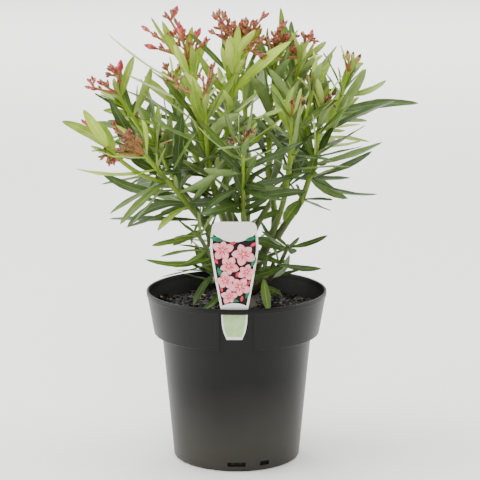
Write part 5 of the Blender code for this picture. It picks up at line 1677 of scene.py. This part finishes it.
def crown_rings(draws):
    """The root crown's rings and poles: flared and lobed at the mix, furrowed, and domed over between
    the limbs."""
    shares = np.concatenate((np.linspace(CROWN_ROOT, CROWN_SHOULDER, CROWN_ROWS), (1.0,)))
    angles = even_angles(CROWN_RING)
    around = circle(X_AXIS, Y_AXIS, CROWN_RING)
    radii = np.stack([crown_radius(max(share, 0.0), angles) for share in shares])
    radii *= 1 + FISSURE * CROWN_FURROW * fissures(shares * CROWN_LENGTH, angles, draws)
    rings = np.stack([crown_axis(share) for share in shares])[:, None] + around * radii[..., None]
    top = crown_axis(1.0)
    dome = [top + rise * Z_AXIS + around * (radii[-1] * width)[:, None] for width, rise in CROWN_DOME]
    return np.concatenate((rings, dome)), crown_axis(CROWN_ROOT), top + CROWN_PEAK * Z_AXIS


class OLEANDER_OT_bark(Operator):
    """Give the root crown and the limbs their bark"""
    bl_idname = "oleander.bark"
    bl_label = "Bark"

    def execute(self, context):
        limbs = shrub_in(context).limbs
        draws = np.random.default_rng(BARK_SEED)
        bark = young_bark()
        shape = Joined()
        shape.add_tubes(*crown_rings(draws))
        settle(shape.made("root_crown_bark", [bark]), ["root_crown"])
        paths, radii = [], []
        for limb in LIMBS:
            path, axis = limbs[limb.name]
            paths.append(run_on(path, SINK * axis, SINK * unit(path[-1] - path[-2])))
            radii.append(limb_radii(paths[-1], limb, draws))
        shape = Joined()
        shape.add_stems(np.stack(paths), np.stack(radii))
        settle(shape.made("limb_bark", [bark]), [limb.name for limb in LIMBS])
        return {"FINISHED"}


def twig_radii(shoot, base, rows):
    """A shoot's radius at each station: a taper, swollen where its whorls stand."""
    share = np.linspace(0, 1, rows)
    fullness = TWIG_FULLNESS * SLIM_SHOOTS.get(shoot.name, 1.0)
    taper = fullness * (base + (SHOOT_TIP_RADIUS - base) * share)
    swell = np.zeros(rows)
    for whorl in range(shoot.whorls):
        place = whorl_share(climb_of(whorl, shoot.whorls))
        swell += np.exp(-((share - place) / NODE_LENGTH) ** 2)
    return taper * (1 + NODE_SWELL * swell)


class OLEANDER_OT_twigs(Operator):
    """Grow the green shoots that carry the leaves"""
    bl_idname = "oleander.twigs"
    bl_label = "Shoots"

    def execute(self, context):
        shoots = shrub_in(context).shoots
        paths, radii = [], []
        for shoot in SHOOTS:
            path, base, plane = shoots[shoot.name]
            start = unit(path[1] - path[0]) if plane is None else plane
            paths.append(run_on(path, SINK * start, unit(path[-1] - path[-2])))
            radii.append(twig_radii(shoot, base, len(paths[-1])))
        shape = Joined()
        shape.add_stems(np.stack(paths), rounded(np.stack(radii), TWIG_RING))
        settle(shape.made("shoots", [young_bark()]), MASSES)
        return {"FINISHED"}


# ---------------- leaves

BLADE_STATIONS = np.array((0.015, 0.07, 0.16, 0.28, 0.42, 0.56, 0.70, 0.83, 0.94))
WIDTH_RISE = 0.85  # power by which a blade widens from its root
WIDTH_FALL = 0.7  # power by which it narrows to its tip
PETIOLE_HALF = 0.9
PETIOLE_END = 0.3  # share of the length up to which a leaf is at least as wide as its stalk
ACROSS_TOP = (-1.0, -0.55, -0.055, 0.055, 0.55, 1.0)
ACROSS_UNDER = (0.55, 0.07, -0.07, -0.55)
ACROSS = np.array(ACROSS_TOP + ACROSS_UNDER)  # places round a station, as shares of the half width
RIB_DEPTH = 0.8
RIB_HALF = 0.1  # half the midrib's width, as a share of the blade's half width
RIB_FADE = 0.75  # share of its depth that a midrib loses by the tip
FOLD_EASE = 0.4  # how much a blade's fold flattens at its margin
STALK_FULLNESS = 0.5  # how much thicker a blade is beneath where it is its stalk
COLUMN_PAINT = (0, 0, 1, 0, 0, 2, 2, 1, 2, 2)  # upper side, midrib and underside round a station
TYPICAL_LENGTH = 68.0
SLENDERER = 0.4  # how much narrower in share a longer leaf is
WIDTH_SPREAD = 0.14
WIDTH_LIMITS = (0.75, 1.3)
WIDEST = 15.0  # width that no leaf reaches
SWAY = 0.28
SET_TWIST = 8.0  # typical degrees from root to tip, in leaves whose tips are given
DRAWN_TWIST = 24.0  # and in the others
WAVE = 0.09
WAVES = 2.3  # waves to a leaf's length
LEAF_SEED = 5

# Each tone of leaf: its name, then the two colours that its upper side, midrib and underside drift
# between. Leaves take a tone by how high on their shoot they stand, for their age; their height in the
# crown and their shoot also make them lighter or darker, which paints light on the top and front and
# shade low, behind and within, so the darker tones are partly painted shade.
LEAF_TONES = (
    ("deep", "#304517", "#425a23", "#5b752e", "#6f883c", "#5d743c", "#6f8448"),
    ("grown", "#476020", "#5e772a", "#7a933c", "#8da54c", "#788f4b", "#8da25a"),
    ("bright", "#759127", "#92ae37", "#a9c04d", "#b9cc5c", "#9fb454", "#b3c464"),
    ("young", "#98b630", "#b6d043", "#c8da5c", "#d4e26b", "#b2c853", "#c4d666"),
)
LEAF_PARTS = (("upper", 0.42), ("midrib", 0.5), ("under", 0.6))  # each with its roughness
TONE_BREAKS = (0.3, 0.58, 0.86)
TONE_FOOT = 0.13
TONE_CLIMB = 0.5
TONE_RISE = 0.15  # to each TONE_SPAN of height above TONE_LEVEL
TONE_LEVEL = 320.0
TONE_SPAN = 100.0
TONE_SPREAD = 0.16
# How much lighter or darker each shoot's leaves are: painted light on shoots at the top and front, painted
# shade on those low down, at the back and under others.
TONE_OF_SHOOT = {"top_centre": 0.16, "upper_left": 0.12, "left_front": 0.08, "low_left": -0.18,
                 "low_right": -0.4, "low_back": -0.3, "foot_left": -0.12, "foot_right": -0.22,
                 "top_right": -0.1, "top_right_side": -0.08, "right_upper_side": -0.12,
                 "right_centre": -0.14, "right_inner_top": -0.08, "centre_front": -0.16}


def blade_frames(leaves, twists, draws):
    """The leaves' ribs, and the directions across and off their blades. A rib leaves its base along
    the heading, bends as the share squared toward the blade's face, and sways aside as the share
    times what is left of it. The blade twists about it in step with the share."""
    base, heading, normal, length, curl = leaves
    s = BLADE_STATIONS
    sway = draws.normal(0, SWAY, len(base))[:, None]
    aside = np.cross(heading, normal)[:, None]
    heading, normal = heading[:, None], normal[:, None]
    bend, slip = s ** 2 * curl[:, None], sway * s * (1 - s)
    tilt, veer = 2 * s * curl[:, None], sway * (1 - 2 * s)
    reach = s[:, None] * heading + bend[..., None] * normal + slip[..., None] * aside
    along = unit(heading + tilt[..., None] * normal + veer[..., None] * aside)
    across = unit(np.cross(along, normal))
    face = np.cross(across, along)
    turn = np.radians((twists * draws.normal(0, 1, len(base)))[:, None] * s)
    cos, sin = np.cos(turn)[..., None], np.sin(turn)[..., None]
    rib = base[:, None] + length[:, None, None] * reach
    return rib, cos * across + sin * face, cos * face - sin * across


def blade_halves(length, leaf_width, widths, draws):
    """The leaves' half widths: each rises as a power of the share and falls as a power of what is
    left of it. Longer leaves are slimmer, none reaches WIDEST, and a stalk keeps its width."""
    s = BLADE_STATIONS
    peak = WIDTH_RISE / (WIDTH_RISE + WIDTH_FALL)
    full = peak ** WIDTH_RISE * (1 - peak) ** WIDTH_FALL
    width = leaf_width * (TYPICAL_LENGTH / length) ** SLENDERER * widths
    width *= np.clip(draws.normal(1.0, WIDTH_SPREAD, len(length)), *WIDTH_LIMITS)
    broad = length * width
    broad /= (1 + (broad / WIDEST) ** 4) ** 0.25
    half = broad[:, None] / 2 * s ** WIDTH_RISE * (1 - s) ** WIDTH_FALL / full
    return np.maximum(half, PETIOLE_HALF * (s < PETIOLE_END))


def blade_lifts(half, shrub, draws):
    """How far each point of a blade stands off its rib: the sides fold up and wave at their margins,
    the underside lies a thickness lower, and the midrib a rib's depth below that."""
    s, t = BLADE_STATIONS, ACROSS
    fold = shrub.fold * np.abs(t) * (1 - FOLD_EASE * np.abs(t))
    thick = np.where(np.arange(len(t)) < len(ACROSS_TOP), 0.0, shrub.leaf_thickness / MM)
    keel = np.where((thick > 0) & (np.abs(t) < RIB_HALF), RIB_DEPTH, 0.0)
    phase = WAVES * s + draws.uniform(0, 1, (len(half), 1))
    wave = np.sin(math.tau * phase)[..., None] * np.sign(t) * t ** 2
    lift = half[..., None] * (fold + WAVE * wave) - thick - keel * (1 - RIB_FADE * s)[:, None]
    return lift - (half[..., None] < PETIOLE_HALF * 1.5) * (thick > 0) * STALK_FULLNESS


def blade_rings(blades, shrub, draws):
    """Leaf blades as closed grids: at each station along the rib, ACROSS gives the points' places to
    its sides, and their lifts how far they stand off it. Also the two poles of each."""
    leaves = columns([blade.leaf for blade in blades])
    base, heading, normal, length, curl = leaves
    rib, across, face = blade_frames(leaves, np.array([blade.twist for blade in blades]), draws)
    half = blade_halves(length, shrub.leaf_width, np.array([blade.width for blade in blades]), draws)
    lift = blade_lifts(half, shrub, draws)
    rings = rib[:, :, None] + across[:, :, None] * (half[..., None] * ACROSS)[..., None]
    rings = rings + face[:, :, None] * lift[..., None]
    tip = base + length[:, None] * (heading + curl[:, None] * normal)
    return rings, base - heading * LEAF_ROOT_DEPTH, tip


def tones_of(blades, draws):
    """Each leaf's tone: younger the higher it stands on its shoot, younger and painted lighter the higher it
    stands in the crown, and painted lighter or darker by its shoot, as light and shade fall.
    """
    climb = np.array([blade.climb for blade in blades])
    height = np.array([blade.leaf.base[2] for blade in blades])
    shoot = np.array([TONE_OF_SHOOT.get(blade.shoot, 0.0) for blade in blades])
    value = TONE_FOOT + TONE_CLIMB * climb + TONE_RISE * (height - TONE_LEVEL) / TONE_SPAN + shoot
    tones = np.searchsorted(TONE_BREAKS, value + draws.normal(0, TONE_SPREAD, len(blades)))
    names = [name for name, *_ in LEAF_TONES]
    return np.array([names.index(blade.tone) if blade.tone else tone for blade, tone in zip(blades, tones)])


class OLEANDER_OT_leaves(Operator):
    """Dress every shoot in leaves, joined by tone"""
    bl_idname = "oleander.leaves"
    bl_label = "Leaves"

    def execute(self, context):
        blades = shrub_in(context).blades
        draws = np.random.default_rng(LEAF_SEED)
        rings, roots, tips = blade_rings(blades, context.scene.oleander_shrub, draws)
        tones = tones_of(blades, draws)
        side_paint = np.tile(COLUMN_PAINT, len(BLADE_STATIONS) - 1)
        end_paint = np.concatenate((np.ones(len(COLUMN_PAINT), int), COLUMN_PAINT))
        for tone, (name, *colours) in enumerate(LEAF_TONES):
            some = tones == tone
            shape = Joined()
            shape.add_tubes(rings[some], roots[some], tips[some], side_paint, end_paint)
            finishes = [leaf_surface(f"{name}_leaf_{part}", *colours[2 * index:2 * index + 2], roughness)
                        for index, (part, roughness) in enumerate(LEAF_PARTS)]
            settle(shape.made(f"leaves_{name}", finishes), MASSES)
        return {"FINISHED"}


# ---------------- buds

BUD_STATIONS = np.array((0.03, 0.15, 0.22, 0.34, 0.52, 0.72, 0.89))
BUD_SWELL = np.array((0.34, 0.34, 0.66, 0.70, 1.0, 0.80, 0.42))
BUD_RING = 7
BUD_PARTS = ("cup", "belly", "point")
BUD_PAINT = (0, 0, 0, 1, 1, 2)  # the part between each station and the next
BRANCH_RING = 7
BRANCH_ROWS = 6
BRANCH_TAPER = 0.35
STALK_RADIUS = 1.9
STALK_COLOURS = ("#8c5632", "#b4824c")
TWIG_SWELL = 1.2

# Each cluster's look: the tint of the large buds at its arms' ends and of the small buds, how many
# side twigs an arm carries, and the length of the buds on them.
Look = namedtuple("Look", "tint small forks length")
LOOKS = {
    "upper_left": Look("rose", "russet", 2, 9.0), "left_high": Look("rose", "russet", 2, 8.0),
    "left_tip": Look("rose", "spent", 1, 6.5), "left_front": Look("russet", "tan", 3, 8.5),
    "left_middle": Look("rose", "spent", 1, 6.5), "centre_left": Look("russet", "tan", 2, 7.0),
    "top_centre": Look("russet", "russet", 4, 10.0), "top_right": Look("russet", "russet", 4, 9.0),
    "top_right_side": Look("rose", "russet", 2, 7.5), "right_upper_side": Look("russet", "russet", 0, 8.0),
    "right_inner_top": Look("spent", "russet", 1, 7.0), "right_outer_top": Look("straw", "spent", 0, 8.0),
    "right_centre": Look("russet", "spent", 1, 7.0), "centre_front": Look("spent", "tan", 2, 7.0),
}
PLAIN_LOOK = Look("russet", "russet", 3, 8.0)
ACCENT = "rose"
ACCENT_SHARE = 0.12
BUDS_PER_FORK = 3
FORKS_FROM = 0.3  # share of an arm's length from which side twigs leave it
FORKS_TO = 3.0  # how far from its end the last may leave it
FORK_TURN = 40.0  # degrees by which a side twig's turn is drawn
FORK_AHEAD, FORK_OUT, FORK_UP = 0.8, (0.4, 0.9), 0.5  # how much it points each way
FORK_REACH = (0.5, 1.2)  # its length, as a share of the buds' on it
FORK_ROOT = 1.5
SIDE_TWIG_RADIUS = 0.8
SMALL_LENGTHS = (0.75, 1.2)
SMALL_PLACES = (0.35, 1.0)  # share of the twig at which a small bud sits
SMALL_OUT, SMALL_UP = 0.38, 0.15  # how much it turns aside, and up the stalk's way
SMALL_RADIUS = (0.14, 0.45)  # share of its length, and millimetres more
TWIG_NUDGE = (0.01, 0.02, 0.0)  # keeps twigs' and buds' sides defined where they follow the stalk
BUD_NUDGE = (0.02, 0.01, 0.0)
TWIG_RUN_ON = 2.5  # how far a twig's spindle runs on into its bud

# The arms of the larger clusters: the arm that each leaves (-1 is the stalk), where the bud at
# its end points, and that bud's length.
ARMS = {
    "upper_left": ((-1, -63, 6, 486, 22), (0, -57, 12, 475, 14), (0, -77, 16, 494, 10),
                   (2, -64, 16, 503, 18), (-1, -101, 6, 461, 17), (-1, -105, 26, 480, 14),
                   (-1, -33, 8, 465, 12), (-1, -39, 16, 479, 16), (0, -75, 14, 472, 10)),
    "left_high": ((-1, -126, 10, 445, 20), (0, -137, 7, 438, 12), (0, -144, 13, 430, 9),
                  (-1, -153, 4, 422, 11), (-1, -167, 10, 415, 11), (4, -161, 13, 422, 9)),
    "left_tip": ((-1, -165, -66, 390, 10), (0, -160, -63, 390, 8)),
    "left_front": ((-1, -146, -59, 349, 9), (0, -137, -63, 344, 7), (0, -130, -55, 338, 8),
                   (-1, -134, -49, 384, 9), (-1, -115, -55, 379, 10), (-1, -121, -63, 371, 9),
                   (-1, -109, -49, 372, 9), (-1, -123, -67, 361, 8)),
    "left_middle": ((-1, -87, -14, 375, 9), (-1, -82, -20, 372, 8), (-1, -94, -10, 369, 8),
                    (-1, -73, -8, 359, 7)),
    "centre_left": ((-1, -23, -28, 447, 9), (-1, -28, -34, 442, 8), (-1, -36, -24, 432, 8),
                    (-1, -21, -22, 434, 8), (-1, -69, -28, 421, 9), (4, -65, -24, 427, 8)),
    "top_centre": ((-1, -25, 0, 496, 9), (-1, -29, -4, 478, 9), (-1, -19, 6, 492, 9),
                   (-1, 9, -4, 488, 10), (-1, -1, 4, 484, 9), (-1, 30, 0, 494, 10), (-1, 18, -8, 490, 9),
                   (-1, 35, 4, 470, 9), (-1, 28, -10, 454, 8), (-1, -13, -8, 481, 9)),
    "top_right": ((-1, 48, 16, 485, 9), (-1, 65, 12, 474, 9), (-1, 42, 8, 473, 9), (-1, 57, 22, 467, 8),
                  (-1, 37, 12, 462, 8)),
    "top_right_side": ((-1, 83, 8, 478, 10), (0, 82, 2, 465, 8), (-1, 65, 12, 465, 8),
                       (-1, 57, 4, 459, 8), (-1, 76, 12, 470, 8), (-1, 47, 0, 448, 8)),
    "right_upper_side": ((-1, 76, -24, 432, 12), (-1, 85, -16, 435, 11), (-1, 89, -24, 433, 11)),
    "right_inner_top": ((-1, 91, -15, 416, 9), (-1, 83, -19, 413, 7), (-1, 109, -11, 413, 9),
                        (-1, 99, -19, 406, 8)),
    "right_outer_top": ((-1, 122, 30, 453, 15), (-1, 137, 26, 449, 16), (-1, 117, 34, 448, 9),
                        (-1, 129, 34, 451, 12)),
    "right_centre": ((-1, 61, -50, 411, 8), (-1, 71, -46, 413, 8), (-1, 75, -42, 406, 8)),
}
ARM_FORK = 0.3  # share of the stalk's height at which the arms leave it
ARM_RADIUS = 1.6
ARM_BUD_RADIUS = 0.2  # share of the bud's length

# Each tint of bud: the two colours that its cup, its belly and its point drift between.
BUD_TINTS = {
    "rose": ("#7e3f2b", "#c98a5e", "#a02a36", "#df7666", "#7c1a33", "#c23c52"),
    "russet": ("#6c3f27", "#c38e5a", "#723f29", "#c88a62", "#541f21", "#a04e3e"),
    "tan": ("#6a552e", "#b8985f", "#785a32", "#c09a66", "#48281f", "#8c5440"),
    "straw": ("#8f8a3c", "#b8b45c", "#a9853a", "#d2b562", "#3f2c1c", "#6e4a2c"),
    "spent": ("#4a3020", "#7a5434", "#3a251c", "#74482f", "#1d1512", "#33221a"),
}


def bud_rings(spindles):
    """Buds as rings and poles: a thin stalk, a cup where it swells, a belly that draws to a point."""
    base, heading, length, radius = columns(spindles)
    tip = base + heading * length[:, None]
    paths = base[:, None] + (tip - base)[:, None] * BUD_STATIONS[:, None]
    return carried(paths, rounded(radius[:, None] * BUD_SWELL, BUD_RING)), base, tip


def side_twigs(look, twig, axis, draw):
    """Side twigs along a branch at the golden angle, and the small buds that spread at their ends."""
    side = unit(np.cross(twig.heading, axis + TWIG_NUDGE))
    across = np.cross(twig.heading, side)
    share_of_length, more = SMALL_RADIUS
    twigs, buds = [], []
    for index in range(look.forks):
        share = FORKS_FROM + (1 - FORKS_FROM) * (index + draw.random()) / look.forks
        turn = math.radians(GOLDEN_ANGLE * index + draw.uniform(-FORK_TURN, FORK_TURN))
        outward = swung(side, across, turn)
        heading = unit(FORK_AHEAD * twig.heading + draw.uniform(*FORK_OUT) * outward + FORK_UP * axis)
        base = twig.base + twig.heading * (twig.length - FORKS_TO) * share
        reach = look.length * draw.uniform(*FORK_REACH)
        twigs.append(Spindle(base, heading, reach + FORK_ROOT, SIDE_TWIG_RADIUS))
        spread = unit(np.cross(heading, axis + BUD_NUDGE))
        for bud in range(BUDS_PER_FORK):
            lean = swung(spread, np.cross(heading, spread), math.tau * bud / BUDS_PER_FORK + turn)
            length = look.length * draw.uniform(*SMALL_LENGTHS)
            start = base + heading * reach * draw.uniform(*SMALL_PLACES)
            spread_out = unit(heading + SMALL_OUT * lean + SMALL_UP * axis)
            buds.append(Spindle(start, spread_out, length, share_of_length * length + more))
    return twigs, buds


def arms_of(cluster):
    """A cluster's arms with the buds on each, and its stalk: the measured arms, which leave a short
    stalk or each other's forks, or else the rule's own."""
    rows = ARMS.get(cluster.shoot.name)
    if not rows:
        return cluster.branches, cluster.stalk
    foot, top = cluster.stalk
    neck = foot + (top - foot) * ARM_FORK
    forks, arms = [], []
    for source, *tip, length in rows:
        start = neck if source < 0 else forks[source]
        heading = unit(np.array(tip) - start)
        forks.append(np.array(tip) - heading * length)
        arm = Spindle(start, heading, np.linalg.norm(forks[-1] - start) + TWIG_RUN_ON, ARM_RADIUS)
        arms.append([arm, Spindle(forks[-1], heading, length, ARM_BUD_RADIUS * length)])
    return arms, np.array((foot, neck))


def cluster_parts(cluster, seed):
    """A cluster's twigs, and its buds as pairs of a tint and a spindle."""
    look = LOOKS.get(cluster.shoot.name, PLAIN_LOOK)
    draw = random.Random(f"{seed} small buds {cluster.shoot.name}")
    axis = unit(cluster.stalk[1] - cluster.stalk[0])
    twigs, buds = [], []
    for twig, *large in arms_of(cluster)[0]:
        more_twigs, small = side_twigs(look, twig, axis, draw)
        twigs += [twig] + more_twigs
        buds += [(look.tint, bud) for bud in large]
        buds += [(ACCENT if draw.random() < ACCENT_SHARE else look.small, bud) for bud in small]
    return twigs, buds


def stem_lines(ends):
    """Straight midlines between pairs of ends (N, 2, 3)."""
    return ends[:, :1] + (ends[:, 1:] - ends[:, :1]) * np.linspace(0, 1, BRANCH_ROWS)[:, None]


class OLEANDER_OT_buds(Operator):
    """Set a cluster of buds on every flowering shoot"""
    bl_idname = "oleander.buds"
    bl_label = "Bud clusters"

    def execute(self, context):
        clusters = shrub_in(context).clusters
        by_tint = {tint: [] for tint in BUD_TINTS}
        twigs = []
        for cluster in clusters:
            branches, tinted = cluster_parts(cluster, context.scene.oleander_shrub.seed)
            twigs += branches
            for tint, bud in tinted:
                by_tint[tint].append(bud)
        for tint, colours in BUD_TINTS.items():
            shape = Joined()
            shape.add_tubes(*bud_rings(by_tint[tint]), np.repeat(BUD_PAINT, BUD_RING),
                            np.repeat((0, 2), BUD_RING))
            finishes = [bud_surface(f"{tint}_bud_{part}", *colours[2 * index:2 * index + 2])
                        for index, part in enumerate(BUD_PARTS)]
            settle(shape.made(f"buds_{tint}", finishes))
        base, heading, length, radius = columns(twigs)
        ends = np.stack((base, base + heading * (length - TWIG_RUN_ON)[:, None]), axis=1)
        stalks = np.stack([arms_of(cluster)[1] for cluster in clusters])
        taper = 1 - BRANCH_TAPER * np.linspace(0, 1, BRANCH_ROWS)
        shape = Joined()
        for pairs, thick in ((stalks, np.full(len(stalks), STALK_RADIUS)), (ends, radius * TWIG_SWELL)):
            shape.add_stems(stem_lines(pairs), rounded(thick[:, None] * taper, BRANCH_RING))
        settle(shape.made("bud_stalks", [bud_surface("bud_stalk", *STALK_COLOURS)]))
        return {"FINISHED"}


# ---------------- stage

FLOOR_SIDE = 60.0
PAPER_ROUGHNESS = 0.9
SENSOR_WIDTH = 36.0
FARTHEST = 100.0
SKY_STRENGTH = 0.3

# Each softbox: where it stands, where it aims and its side in metres, and its power in watts.
Lamp = namedtuple("Lamp", "name place aim size power")
LAMPS = (Lamp("left_softbox", (-2.0, -0.15, 1.0), (0, 0, 0.3), 2.2, 76.0),
         Lamp("right_softbox", (2.1, 0.2, 1.0), (0, 0, 0.3), 2.0, 50.0),
         Lamp("top_softbox", (-0.3, 0.2, 3.0), (0, 0, 0.2), 2.2, 98.0),
         Lamp("front_fill", (0.3, -3.0, 2.4), (0, 0, 0.35), 1.6, 54.0),
         Lamp("left_backdrop", (-1.8, 4.6, 3.0), (-0.6, 4.6, 0), 3.0, 260.0),
         Lamp("right_backdrop", (1.8, 4.6, 3.0), (0.6, 4.6, 0), 3.0, 260.0))


class OLEANDER_OT_stage(Operator):
    """Set up the floor, the soft lights and the camera"""
    bl_idname = "oleander.stage"
    bl_label = "Stage"

    def execute(self, context):
        stage = context.scene.oleander_stage
        half = FLOOR_SIDE / 2 / MM
        floor = Joined()
        floor.add(np.array(((-half, -half, 0), (half, -half, 0), (half, half, 0), (-half, half, 0))),
                  ([(0, 1, 2, 3)], 0))
        paper, *_ = material("pale_paper", Roughness=PAPER_ROUGHNESS, Base_Color=(*stage.floor, 1.0))
        floor.made("floor", [paper])
        for lamp in LAMPS:
            light = bpy.data.lights.new(lamp.name, "AREA")
            light.size, light.energy = lamp.size, lamp.power
            item = bpy.data.objects.new(lamp.name, light)
            item.location = lamp.place
            away = Vector(lamp.place) - Vector(lamp.aim)
            item.rotation_euler = away.to_track_quat("Z", "Y").to_euler()
            context.scene.collection.objects.link(item)
        world = bpy.data.worlds.new("studio")
        world.use_nodes = True
        sky = world.node_tree.nodes["Background"]
        sky.inputs["Color"].default_value = (1.0, 1.0, 1.0, 1.0)
        sky.inputs["Strength"].default_value = SKY_STRENGTH
        context.scene.world = world
        view = bpy.data.cameras.new("camera")
        view.lens, view.sensor_width = stage.lens, SENSOR_WIDTH
        view.clip_end = FARTHEST
        camera = bpy.data.objects.new("camera", view)
        camera.location = (stage.aside, -stage.distance, stage.eye_height)
        camera.rotation_euler = (math.pi / 2 - stage.pitch, 0.0, 0.0)
        context.scene.collection.objects.link(camera)
        context.scene.camera = camera
        return {"FINISHED"}


# ---------------- add-on

OPERATORS = (OLEANDER_OT_stage, OLEANDER_OT_pot, OLEANDER_OT_mix, OLEANDER_OT_label, OLEANDER_OT_bark,
             OLEANDER_OT_twigs, OLEANDER_OT_leaves, OLEANDER_OT_buds)
SETTINGS = {"oleander_pot": PotSettings, "oleander_mix": MixSettings, "oleander_label": LabelSettings,
            "oleander_shrub": ShrubSettings, "oleander_stage": StageSettings}


class OLEANDER_PT_panel(Panel):
    """Lists the pieces of the potted oleander"""
    bl_idname = "OLEANDER_PT_panel"
    bl_label = "Potted oleander"
    bl_space_type = "VIEW_3D"
    bl_region_type = "UI"
    bl_category = "Oleander"

    def draw(self, context):
        for operator in OPERATORS:
            self.layout.operator(operator.bl_idname)
        for name, group in SETTINGS.items():
            box = self.layout.box()
            for setting in group.__annotations__:
                box.prop(getattr(context.scene, name), setting)


def register():
    """Register the settings, the operators and the panel."""
    for group in SETTINGS.values():
        bpy.utils.register_class(group)
    for name, group in SETTINGS.items():
        setattr(bpy.types.Scene, name, PointerProperty(type=group))
    for made in (*OPERATORS, OLEANDER_PT_panel):
        bpy.utils.register_class(made)


def unregister():
    """Take back what register added."""
    for made in (OLEANDER_PT_panel, *reversed(OPERATORS)):
        bpy.utils.unregister_class(made)
    for name, group in SETTINGS.items():
        delattr(bpy.types.Scene, name)
        bpy.utils.unregister_class(group)


def main():
    """Make every piece."""
    register()
    for operator in OPERATORS:
        family, name = operator.bl_idname.split(".")
        getattr(getattr(bpy.ops, family), name)()


if __name__ == "__main__":
    main()
